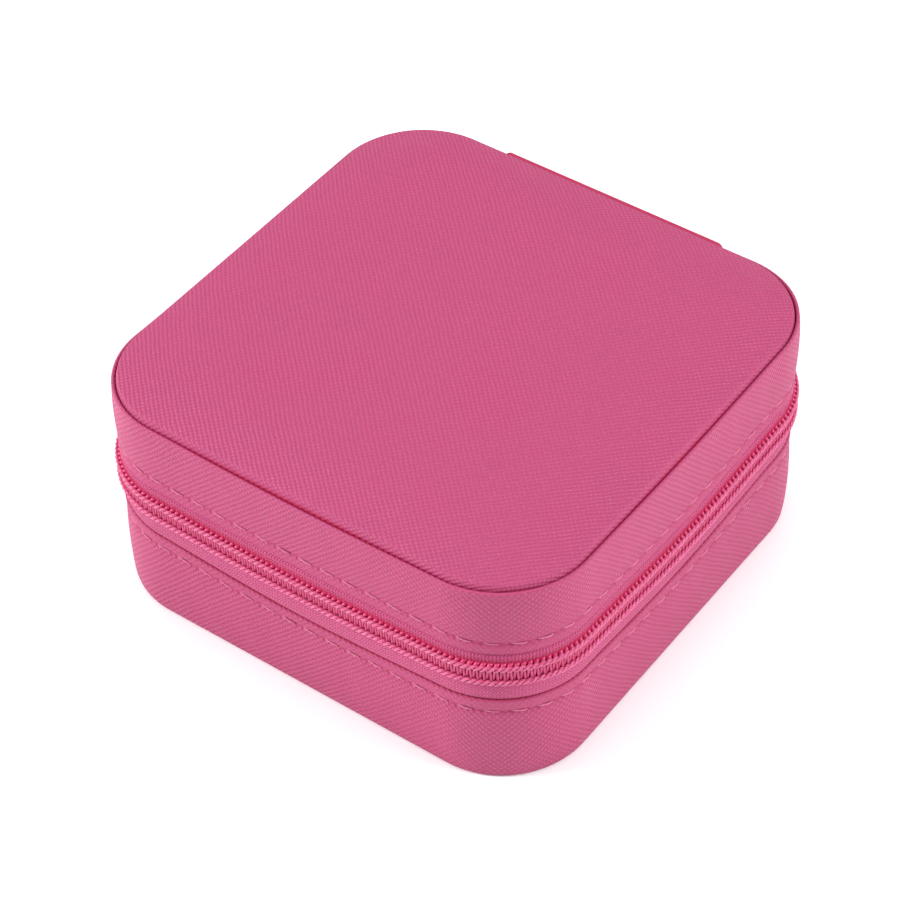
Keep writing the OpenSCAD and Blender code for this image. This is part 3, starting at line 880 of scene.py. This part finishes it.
def zip_parts():
    # Each band, with its tape's profile, rib height and shades by the coil and by the edge
    tapes = [(BASE_BAND, BASE_TAPE, 0.0245, (0.7, 2.7, 2.4), (1.0, -0.5, -0.1)),
             (LID_BAND, LID_TAPE, 0.07, (1.0, 4.3, 2.0), (0.5, -0.1, 0.2))]
    for band, *tape in tapes:
        body = band.body
        settle(tape_piece(band, *tape), body, "tape", f"zip_tape_{body}")
        settle(coil_piece(band), body, "coil", f"zip_coil_{body}")
        settle(chain_stitches(band), body, "braid")
        settle(stop_piece(band), body, "gold", f"zip_stops_{body}")


def on_left_wall(y, z, x):
    """Turns a plate drawn in (y, z) so that it lies along the left wall, with its middle at x."""
    turn = Matrix(((0, 0, 1, 0), (1, 0, 0, 0), (0, 1, 0, 0), (0, 0, 0, 1)))
    return Matrix.Translation(Vector((x, y, z)) * MM) @ turn


def arc(centre, radius, start, end, count):
    """Points on a circle round centre, with angles from its +y, clockwise."""
    return [(centre[0] + radius * math.sin(a), centre[1] + radius * math.cos(a))
            for a in np.linspace(start, end, count)]


def blade_loop(length, width):
    """The slider's outline: a round nose that widens to two shoulders round the mouth."""
    nose, shoulder = width / 2 - 1, 1.5
    nose_at = -length / 2 + nose
    half = [(nose_at - nose * math.cos(a), nose * math.sin(a)) for a in np.linspace(0, 1.25, 9)]
    half += [(nose_at + 1.6, width / 2 - 0.55), (nose_at + 2.8, width / 2 - 0.08)]
    half += arc((length / 2 - shoulder, width / 2 - shoulder), shoulder, 0, 1.57, 7)
    half += [(length / 2 - 0.25, 1.6), (length / 2 - 0.9, 0.6)]
    return half + [(a, -b) for a, b in reversed(half[1:])]


def add_bar(shell, path, side, width, thick):
    """A flat bar with rounded corners along a path. Its width lies along side."""
    corner, sides = 0.6, 16
    tangent = unit(np.gradient(path, axis=0))
    side = unit(np.broadcast_to(side, path.shape))
    up = np.cross(tangent, side)
    angle = np.arange(sides) * TURN / sides
    across = signed_power(np.cos(angle), corner) * np.reshape(width, (-1, 1)) / 2
    through = signed_power(np.sin(angle), corner)[None] * thick / 2
    points = path[:, None] + side[:, None] * across[..., None] + up[:, None] * through[..., None]
    shell.grid(points, lengths(path), np.linspace(0, 4, sides + 1), loop_v=True, capped=True)


def slider_piece():
    middle, half = middle_and_half("zip_slider")
    centre_y, length, width = middle[1], 2 * half[1], 2 * half[2]
    outer_t, inner_t, rail_x = 0.9, 0.8, -HALF - 0.4
    outer_x, inner_x = -HALF - 1.2 - outer_t / 2, -HALF + 1.9 + inner_t / 2
    face_x = outer_x - outer_t / 2
    loop = blade_loop(length, width)
    raised = [(0.80 * a - 0.2, 0.78 * b) for a, b in loop]
    plates = [("slider_body", loop, outer_t, 0.3, outer_x), ("raised", raised, 0.5, 0.2, face_x),
              ("inner", loop, inner_t, 0.25, inner_x)]
    parts = [cut_plate(name, [outline], thick, edge, on_left_wall(centre_y, PART_Z, x))
             for name, outline, thick, edge, x in plates]
    shell = Shell()
    bridge = [(0, -3.5), (-0.7, -3.55), (-1.25, -3.1), (-1.65, -2.0), (-1.75, 0),
              (-1.65, 2.0), (-1.3, 3.1), (-0.75, 3.55), (0, 3.5)]
    t = np.linspace(0, len(bridge) - 1, 33)
    reach, y = (np.interp(t, range(len(bridge)), column) for column in np.transpose(bridge))
    path = stacked(face_x + 0.15 + reach, centre_y + y, PART_Z)
    add_bar(shell, path, (0, 0, 1), 1.1 + 1.6 * smooth(-reach, 1.0, 1.7), 0.75)
    post = stacked(np.linspace(outer_x, inner_x, 5), joint_place("pull_tab_swing")[1], PART_Z)
    add_bar(shell, post, (0, 1, 0), 3.0, 1.4)
    for up in (-1, 1):
        rail_y = np.linspace(centre_y - 0.6, centre_y + length / 2 - 1.2, 7)
        add_bar(shell, stacked(rail_x, rail_y, PART_Z + up * (width / 2 - 0.4)), (1, 0, 0), 2.0, 0.6)
    slider = crisp(joined([*parts, shell.piece("bridge")]))
    settle(slider, "zip_slider", "gold", "zip_slider")


def circle_loop(radius, centre=(0, 0)):
    angle = np.arange(32) * TURN / 32
    return [(centre[0] + radius * math.cos(a), centre[1] + radius * math.sin(a)) for a in angle]


def tab_outline(length, eye_r, neck, foot_r):
    """The pull tab, with a round eye at the top and a round foot, as a smooth half and its mirror."""
    half = arc((0, 0), eye_r, 0, math.pi - math.asin(neck / eye_r), 13)
    neck_z, foot_z = -4, foot_r - length
    half += [(neck + (foot_r - neck) * smooth(t, 0.1, 1), neck_z + (foot_z - neck_z) * t)
             for t in np.linspace(0, 1, 7)[1:]]
    half += [(foot_r * math.cos(a), foot_z - foot_r * math.sin(a)) for a in np.linspace(0.2, TURN / 4, 8)]
    return half + [(-a, b) for a, b in reversed(half[1:-1])]


def tab_piece():
    low, high = box("zip_pull_tab")
    _, eye_y, eye_z = joint_place("pull_tab_swing")
    thick, length, hole_r, foot_r = high[0] - low[0], eye_z - low[2], 1.2, 3.0
    place = on_left_wall(eye_y, eye_z, (low[0] + high[0]) / 2)
    outline = tab_outline(length, 2.7, 1.8, foot_r)
    inner = [(0.72 * a, 0.86 * b - 1.9) for a, b in outline]
    holes = [circle_loop(hole_r), circle_loop(hole_r, (0, foot_r - length))]
    tab = crisp(joined([
        cut_plate("pull_tab", [outline, *holes], thick - 0.14, 0.2, place),
        cut_plate("rim", [outline, inner], thick + 0.1, 0.16, place)]))
    settle(tab, "zip_pull_tab", "gold", "zip_pull_tab")


# ---------- Hinge ----------

def upright_piece(name, node, corner, thick, edge, cells, edge_shade=0.0):
    """A slab in a node's place on the back wall, with its faces along Y."""
    middle, half = middle_and_half(node)
    shell = Shell()
    add_slab(shell, Outline(half[0], half[2], corner),
             lambda x, y, d: thick / 2 * round_edge(d, edge),
             lambda x, y, d: -thick / 2 * round_edge(d, edge), cells,
             # The crease mark paints crimson shade on the rounded edge where it meets the case, as
             # strongly as the last argument says.
             hem=lambda d: smooth(d, 3.4, 1.6), crease=lambda d: edge_shade * smooth(d, 0.5, 0.2))
    x, y, z = np.transpose(shell.points)
    shell.points = stacked(x, middle[1] + z, middle[2] + y).tolist()
    return shell.piece(name, WELD)


def strap_stitches():
    """A row of stitches round the strap, a little inside its edge."""
    corner, inset, thread_r = 3.0, 2.4, 0.27
    middle, half = middle_and_half("hinge_strap")
    outline = Outline(half[0], half[2], corner).inward(inset)
    count = round(outline.length / STITCH_PITCH)
    t = np.linspace(0, 1, 15)
    lift = 0.30 * arch(t, 0.45) - 0.22
    shell = Shell()
    for number in range(count):
        point, _ = outline.at((number + 0.2 + 0.6 * t) * outline.length / count)
        path = stacked(point[:, 0], middle[1] + half[1] + lift, middle[2] + point[:, 1])
        add_tube(shell, path, (0, 1, 0), thread_r, sides=10)
    return shell.piece("hinge_stitches")


def hinge_parts():
    bend = 3.2
    across = ("base", "lid", (0, HALF + 1, PART_Z - bend), (0, HALF + 1, PART_Z + bend))
    strap_t = 2 * middle_and_half("hinge_strap")[1][1]
    strap = upright_piece("hinge_strap_leather", "hinge_strap", 1.2, strap_t, 0.6, 48, edge_shade=0.8)
    settle(strap, across, "leather", "hinge_strap")
    settle(strap_stitches(), across, "thread")
    velvet = upright_piece("hinge_velvet", "hinge_lining", 0.5, 0.6, 0.25, 30)
    settle(velvet, across, "velvet", "hinge_lining")


# ---------- Linings, foam and boards ----------

WALL_STEPS = 13
PANEL_INSET = 4.4


def wall_lining(foot, rim, up, turned_z):
    """The lining's section as (inset, z): up the wall, over the rim, and down outside the board."""
    face, bend_r, outside = 5.86, 0.75, 2.80
    wall = [(face, z) for z in np.linspace(foot, rim - up * bend_r, WALL_STEPS)]
    bend = [(face - bend_r * (1 - math.cos(a)), rim - up * bend_r * (1 - math.sin(a)))
            for a in np.linspace(0.4, TURN / 4, 4)]
    over = [(PANEL_INSET, 0.0), (3.6, 0.02), (3.1, 0.10), (2.88, 0.28), (outside, 0.7)]
    rim_top = [(inset, rim - up * drop) for inset, drop in over]
    turned = [(outside, turned_z), (2.87, turned_z), (2.87, rim - up * 0.8), (2.95, rim - up * 0.3),
              (4.38, rim - up * 0.3)]
    return [(PANEL_INSET, foot), *wall, *bend, *rim_top, *turned]


def all_round(section, step):
    """Places round the case, and the same section for each of them."""
    s = np.arange(0, CASE.length - 0.5, step)
    return s, np.tile(section, (len(s), 1, 1))


def lining_parts():
    ends = {"base": (FLOOR_Z, box("base_lining_wall")[1][2], 1, box("base_wall_foam")[1][2] + 0.3),
            "lid": (CEILING_Z, box("lid_lining_wall")[0][2], -1, box("lid_wall_foam")[0][2] - 0.3)}
    for body, heights in ends.items():
        s, sections = all_round(wall_lining(*heights), 1.0)
        wall = sections[:, 2:WALL_STEPS]
        wall[..., 0] += waver(s[:, None], wall[..., 1], 0.05)
        shell = Shell()
        add_carried(shell, s, sections)
        if body == "base":
            add_divider_guides(shell)
        settle(shell.piece(f"{body}_wall_velvet"), body, "velvet", f"{body}_lining_wall")


def add_divider_guides(shell):
    """Half-round velvet ribs that hold the ends of the cross dividers."""
    wall_x, beside, steps = HALF - 6.1, 0.7, 12
    radius = 0.5 * np.minimum(1, 0.45 + 1.5 * arch(np.linspace(0, 1, steps)))[:, None]
    for number in (1, 2):
        low, high = box(f"cross_divider_{number}")
        z = np.linspace(FLOOR_Z + 0.1, high[2] - 0.3, steps)
        for y in (low[1] - beside, high[1] + beside):
            add_tube(shell, stacked(wall_x, y, z), (1, 0, 0), radius, sides=12)


def floor_and_ceiling():
    middle, half = (values[2] for values in middle_and_half("base_lining_floor"))
    floor = slab_piece(
        "base_floor_velvet", CASE.inward(PANEL_INSET),
        lambda x, y, d: middle + half * round_edge(d, 0.6) + waver(x * 3, y, 0.04),
        lambda x, y, d: middle - half * round_edge(d, 0.6), cells=50)
    settle(floor, "base", "velvet", "base_lining_floor")
    middle, half = (values[2] for values in middle_and_half("lid_lining_panel"))
    ceiling = slab_piece(
        "lid_ceiling_velvet", CASE.inward(PANEL_INSET),
        lambda x, y, d: middle + half * round_edge(d, 0.6),
        lambda x, y, d: middle - half * round_edge(d, 1.1) + waver(x * 2, y * 0.7, 0.06) * smooth(d, 1, 6))
    settle(ceiling, "lid", "velvet", "lid_lining_panel")


def foam_parts():
    outside, inside, edge = 1.12, 2.85, 0.4
    for body in ("base", "lid"):
        low, high = (corner[2] for corner in box(f"{body}_wall_foam"))
        section = [(outside, low + edge), (1.3, low), (2.6, low), (inside, low + edge),
                   (inside, high - edge), (2.6, high), (1.3, high), (outside, high - edge)]
        shell = Shell()
        add_carried(shell, *all_round(section, 1.5))
        foam = shell.piece(f"{body}_wall_foam_strip")
        settle(foam, body, "foam", f"{body}_wall_foam")
    low, high = (corner[2] for corner in box("lid_foam_pad"))

    def pad_top(x, y, d):
        dome = high - 1.8 * np.clip(1 - (d + 1) / 12, 0, 1) ** 2.2
        return low + (dome - low - 0.05) * round_edge(d, 0.5)

    pad = slab_piece("lid_top_foam", CASE.inward(2.3), pad_top, lambda x, y, d: np.full_like(d, low),
                     cells=40)
    settle(pad, "lid", "foam", "lid_foam_pad")


def boards():
    """The boards keep their CAD shapes, and only get their look."""
    for node in ("base_bottom_board", "base_wall_board", "lid_top_board", "lid_wall_board"):
        materials = frame["nodes"][node].data.materials
        materials.clear()
        materials.append(LOOKS["board"][0])


# ---------- Ring rolls, partition and dividers ----------

SIM_SCALE = 20.0         # cloth behaves better when it is simulated larger
SIM_FRAMES = 20
MOST_MOVED = 1.0
ROLL_INSET = 6.15        # where the wall's velvet stops the rolls' ends
CLOTH = {"quality": 6, "mass": 0.3, "tension_stiffness": 12, "compression_stiffness": 12,
         "bending_stiffness": 0.4, "use_pressure": True, "uniform_pressure_force": 4.0}


def points_of(piece):
    return np.array([vertex.co for vertex in piece.data.vertices])


def set_points(piece, points):
    piece.data.vertices.foreach_set("co", points.astype(np.float32).ravel())


def roll_start(name, half):
    """A plain bolster a little smaller than its place, in the simulation's own scale."""
    length, radius, sides = 2 * half[0] - 0.5, half[1] - 0.35, 36
    end_x, end_r = np.array([(0, 0), (0.05, 0.35), (0.35, 0.72), (0.9, 0.93)]).T
    body_x = np.linspace(1.8, length - 1.8, 26)
    x = np.concatenate([end_x, body_x, length - end_x[::-1]])
    r = radius * np.concatenate([end_r, np.ones(len(body_x)), end_r[::-1]])[:, None]
    angle = np.arange(sides) * TURN / sides
    points = stacked((x - length / 2)[:, None], r * np.sin(angle), r * np.cos(angle))
    shell = Shell()
    shell.grid(points * SIM_SCALE, x, [*angle, TURN], loop_v=True)
    return shell.piece(name, WELD)


def simulate(piece):
    """Remeshes a closed shape and inflates it as cloth. No point moves further than MOST_MOVED."""
    remesh = piece.modifiers.new("even", "REMESH")
    remesh.mode, remesh.voxel_size = "VOXEL", 1.15 * MM * SIM_SCALE
    before = points_of(changed(piece))
    settings = piece.modifiers.new("cloth", "CLOTH").settings
    for name, value in CLOTH.items():
        setattr(settings, name, value)
    settings.effector_weights.gravity = 0
    for number in range(1, SIM_FRAMES + 1):
        bpy.context.scene.frame_set(number)
    moved = points_of(changed(piece)) - before
    size = np.linalg.norm(moved, axis=1, keepdims=True)
    most = MOST_MOVED * MM * SIM_SCALE
    set_points(piece, before + moved * np.minimum(1, most / np.maximum(size, 1e-9)))
    bpy.context.scene.frame_set(1)


def fit_roll(piece, node):
    """Flattens an inflated roll where it meets the floor, its neighbours and the walls."""
    middle, half = middle_and_half(node)
    low, high = box(node)
    piece.data.transform(Matrix.Translation(Vector(middle) * MM) @ Matrix.Scale(1 / SIM_SCALE, 4))
    piece.modifiers.new("finer", "SUBSURF").levels = 1
    x, y, z = points_of(changed(piece)).T / MM
    pinch, squareness, reach = 0.05, 1.18, half[1] + 0.08
    y = middle[1] + reach * np.tanh((y - middle[1]) / reach * squareness) / np.tanh(squareness)
    z = np.clip(z, low[2] + pinch, high[2] + 0.25)
    flat = stacked(np.clip(x, low[0] + pinch, high[0] - pinch), y)
    walls = CASE.inward(ROLL_INSET)
    for _ in range(3):
        out = np.maximum(-walls.depth(*flat.T), 0)
        flat -= unit(flat - np.sign(flat) * (walls.half_x - walls.radius)) * out[:, None]
    x, y = flat.T
    uneven = stacked(waver(y * 9, z * 3, 1.0), waver(x * 8, z * 3, 1.0), waver(x * 9 + y * 5, y, 1.0))
    set_points(piece, (stacked(x, y, z) + 0.035 * uneven) * MM)
    piece.data.shade_smooth()


def ring_rolls():
    for number in range(1, 7):
        node = f"ring_roll_{number}"
        roll = roll_start(f"velvet_roll_{number}", middle_and_half(node)[1])
        simulate(roll)
        fit_roll(roll, node)
        settle(roll, "base", "velvet", node)


def standing_plate(name, node, edge, notches=(), notch_w=0, notch_d=0):
    """A plate of its node's size, with square notches along its right side."""
    low, high = box(node)
    loop = [(low[0], low[1]), (high[0], low[1])]
    for y in notches:
        near, far, foot = y - notch_w / 2, y + notch_w / 2, high[0] - notch_d
        loop += [(high[0], near), (foot, near), (foot, far), (high[0], far)]
    loop += [(high[0], high[1]), (low[0], high[1])]
    place = Matrix.Translation(Vector((0, 0, (low[2] + high[2]) / 2)) * MM)
    return cut_plate(name, [loop], high[2] - low[2], edge, place)


def partitions():
    low, high = box("cross_divider_1")
    notches = [middle_and_half(f"cross_divider_{number}")[0][1] for number in (1, 2)]
    notch_w, notch_d = high[1] - low[1] + 0.4, box("long_partition")[1][0] + 0.2 - low[0]
    wall = standing_plate("velvet_partition", "long_partition", 0.38, notches, notch_w, notch_d)
    settle(wall, "base", "velvet", "long_partition")
    for number in (1, 2):
        node = f"cross_divider_{number}"
        settle(standing_plate(f"velvet_divider_{number}", node, 0.7), node, "velvet", node)


# ---------- Lid pocket ----------

POCKET_LOW, POCKET_HIGH = box("lid_pocket")
POCKET_CORNER = 8.0


def pocket_z(x, y):
    """The height of the middle of the pocket's cloth, which hangs from the ceiling."""
    front, back = POCKET_LOW[1], POCKET_HIGH[1]
    middle_y = (front + back) / 2
    outline = Outline(POCKET_HIGH[0], back - middle_y, POCKET_CORNER)
    depth = outline.depth(x, np.maximum(y - middle_y, 0))
    hang = (POCKET_HIGH[2] - POCKET_LOW[2] - 0.35) * round_edge(depth, 6.0)
    pleats = np.sin(TURN * x / 6.1 + 1.3 * np.sin(x / 9)) + 0.5 * np.sin(TURN * x / 3.7 + 0.8)
    loose = 0.42 * np.exp(-(y - front) / 9) * pleats + 0.16 * np.sin(TURN * x / 9.5 + y / 7)
    return POCKET_HIGH[2] - 0.2 - hang + loose * smooth(depth, 0.5, 5)


def pocket_parts():
    y = np.linspace(POCKET_LOW[1], POCKET_HIGH[1], 70)
    t = np.linspace(-1, 1, 181)
    over = np.clip(y - (POCKET_HIGH[1] - POCKET_CORNER), 0, POCKET_CORNER)
    half = POCKET_HIGH[0] - POCKET_CORNER + np.sqrt(POCKET_CORNER ** 2 - over ** 2)
    x = half[:, None] * t
    shell = Shell()
    shell.grid(stacked(x, y[:, None], pocket_z(x, y[:, None])), y, t * POCKET_HIGH[0])
    cloth = thickened(shell.piece("lid_pocket_cloth"), 0.4, 0.12)
    settle(cloth, "lid", "velvet", "lid_pocket")
    settle(elastic_piece(), "lid", "velvet", "pocket_elastic")


def elastic_piece():
    """The ruched casing over the pocket's open edge."""
    middle, half = middle_and_half("pocket_elastic")
    reach, sides, thick = POCKET_HIGH[0] - 0.9, 20, 0.72
    x = np.linspace(-reach, reach, 420)[:, None]
    ruche = 1 + 0.16 * np.sin(TURN * x / 1.9 + 0.8 * np.sin(x / 3.1))
    angle = np.arange(sides) * TURN / sides
    y = middle[1] - 0.2 + (half[1] - 0.3) * signed_power(np.cos(angle), 0.8) * (0.95 + 0.05 * ruche)
    z = pocket_z(x, POCKET_LOW[1] + 1) + thick * np.sin(angle) * ruche
    shell = Shell()
    shell.grid(stacked(x, y, np.minimum(z, POCKET_HIGH[2] - 0.02)), x[:, 0], np.linspace(0, 14, sides + 1),
               loop_v=True, capped=True)
    return shell.piece("pocket_gathered_edge")


# ---------- Necklace straps ----------

def hook_sheet(x0, fold_y, snap_y, half_w, strap_z, sewn_z):
    """The strap's middle surface: rings round the snap, then a strip to the sewn end."""
    shell = Shell()
    hem, hole_r = 0.35, 2.05
    angle = np.arange(48) * TURN / 48
    cos, sin = np.cos(angle), np.sin(angle)
    square = half_w / np.maximum(np.abs(cos), np.abs(sin))
    reach = np.where(sin < -1e-9, half_w, square)
    radius = hole_r + (reach - hole_r) * np.linspace(0, 1, 7)[:, None]
    shell.grid(stacked(x0 + radius * cos, snap_y + radius * sin, strap_z), radius[:, 0], [*angle, TURN],
               loop_v=True, hem=hem)
    far_side = slice(6, 19)          # the points of a ring that the strip starts from
    across = half_w * cos[far_side] / np.abs(sin[far_side])
    sewn_y = fold_y + 7.4
    y = np.linspace(snap_y + half_w, sewn_y, 36)
    z = strap_z + (sewn_z - strap_z) * smooth(y, fold_y - 0.5, fold_y + 4.2)
    shell.grid(stacked(x0 + across, y[:, None], z[:, None]), y, across, hem=hem)
    corners = [k for face in shell.faces for k in face]
    shell.uvs = np.array(shell.points)[corners, :2].tolist()
    return shell


def sewn_end(name, x0, fold_y, half_w, face_z):
    """Two rows of three stitches that hold the strap to the lid."""
    thread_r, stitch_w, pitch = 0.22, 1.8, 0.58 * half_w
    t = np.linspace(0, 1, 13)
    shell = Shell()
    for row_y in (fold_y + 4.9, fold_y + 6.5):
        for place in (-1, 0, 1):
            x = x0 + place * pitch + stitch_w * (t - 0.5)
            path = stacked(x, row_y, face_z + 0.20 - 0.26 * arch(t, 0.45))
            add_tube(shell, path, (0, 0, 1), thread_r)
    return shell.piece(name)


def snap_cap(name, node, strap_z, place):
    """The snap's cap: a dished disc under the strap and a sleeve that lines its hole."""
    low, high = box(node)
    radius = (high[0] - low[0]) / 2
    face, top = low[2], high[2]
    return lathe_piece(name, [
        (0.0, face + 0.30), (1.4, face + 0.24), (2.5, face + 0.02), (3.0, face), (3.5, face + 0.10),
        (radius - 0.1, face + 0.42), (radius, face + 0.80), (radius - 0.2, strap_z - 0.05), (2.1, strap_z),
        (1.95, strap_z + 0.1), (1.95, top - 0.12), (2.4, top - 0.02), (2.45, top + 0.10),
        (2.0, top + 0.16), (1.5, top + 0.08), (1.3, top - 0.2), (1.3, strap_z + 0.12),
        (0.0, strap_z + 0.08)], place)


def snap_stud(name, node, place):
    """The snap's stud: a rounded flange on the lid and a post with a small bulb."""
    low, high = box(node)
    radius = (high[0] - low[0]) / 2
    tip, top = low[2], high[2]
    return lathe_piece(name, [
        (0.0, tip), (0.6, tip + 0.02), (1.0, tip + 0.18), (1.12, tip + 0.42), (0.98, tip + 0.70),
        (0.92, top - 0.62), (1.2, top - 0.50), (2.5, top - 0.44), (radius - 0.1, top - 0.30),
        (radius, top - 0.12), (radius - 0.1, top), (0.0, top)], place)


def hook_parts():
    middle, half = middle_and_half("hook_strap_2")
    half_w, strap_z, sewn_z = half[0], middle[2], CEILING_Z - 0.5
    for number in (1, 2, 3):
        hook, strap = f"hook_{number}", f"hook_strap_{number}"
        cap, stud = f"snap_cap_{number}", f"snap_stud_{number}"
        x0, fold_y, _ = joint_place(f"{hook}_flap")
        snap = (x0, middle_and_half(stud)[0][1])
        sheet = hook_sheet(x0, fold_y, snap[1], half_w, strap_z, sewn_z)
        leather = thickened(sheet.piece(f"hook_leather_{number}", 0.01), 0.95, 0.2)
        across = ("lid", hook, (x0, fold_y + 1.6, strap_z), (x0, fold_y - 1.2, strap_z))
        settle(leather, across, "leather", strap)
        stitches = sewn_end(f"hook_stitches_{number}", x0, fold_y, half_w, sewn_z - 0.48)
        settle(stitches, "lid", "thread")
        cap_piece = snap_cap(f"snap_cap_shell_{number}", cap, box(strap)[0][2], snap)
        settle(cap_piece, hook, "gold", cap)
        settle(snap_stud(f"snap_stud_post_{number}", stud, snap), "lid", "gold", stud)


# ---------- Camera, light and floor ----------

def camera():
    """The camera, at the distance and angle that the case is seen from."""
    azimuth, elevation, roll = (math.radians(a) for a in (36.564, 44.046, 1.209))
    distance, target = 0.54916, (0, 0, 0.025)
    turn = Matrix.Rotation(azimuth, 4, "Z") @ Matrix.Rotation(TURN / 4 - elevation, 4, "X")
    turn = turn @ Matrix.Rotation(-roll, 4, "Z")
    lens = bpy.data.cameras.new("camera")
    lens.lens, lens.sensor_width = 115.68, 36
    lens.shift_x, lens.shift_y = -0.0057, -0.0244
    eye = new_object("camera", lens)
    eye.matrix_world = Matrix.Translation(target) @ turn @ Matrix.Translation((0, 0, distance))
    bpy.context.scene.camera = eye


def soft_light(name, place, size, power):
    """A square area light that faces the case."""
    light = bpy.data.lights.new(name, "AREA")
    light.size, light.energy = size, power
    lamp = new_object(name, light)
    lamp.location = place
    lamp.rotation_euler = (-Vector(place)).to_track_quat("-Z", "Y").to_euler()


def studio():
    """A pale floor, an even white surround and three soft lights."""
    size = np.linspace(-2500, 2500, 9)
    shell = Shell()
    shell.grid(stacked(size[:, None], size, 0), size, size)
    floor = shell.piece("floor")
    look = Look("pale_floor", Roughness=0.85, Specular_IOR_Level=0.1)
    cloud = look.noise(look.space(), 0.004)
    floor.data.materials.append(look.done(look.mix(cloud, (250, 250, 250), (254, 254, 254))))
    world = bpy.data.worlds.new("surround")
    world.use_nodes = True
    surround = world.node_tree.nodes["Background"].inputs
    surround["Color"].default_value = (1, 1, 1, 1)
    surround["Strength"].default_value = 0.66
    bpy.context.scene.world = world
    bpy.context.scene.view_settings.view_transform = "Standard"
    soft_light("left", (-0.95, -0.72, 0.62), 0.5, 17.3)
    soft_light("right", (0.98, 0.42, 0.62), 0.5, 11.3)
    soft_light("top", (-0.1, 0.1, 1.4), 0.9, 6.5)


# ---------- Everything ----------

camera()
studio()
base_leather()
lid_leather()
zip_parts()
slider_piece()
tab_piece()
hinge_parts()
lining_parts()
floor_and_ceiling()
foam_parts()
boards()
ring_rolls()
partitions()
pocket_parts()
hook_parts()
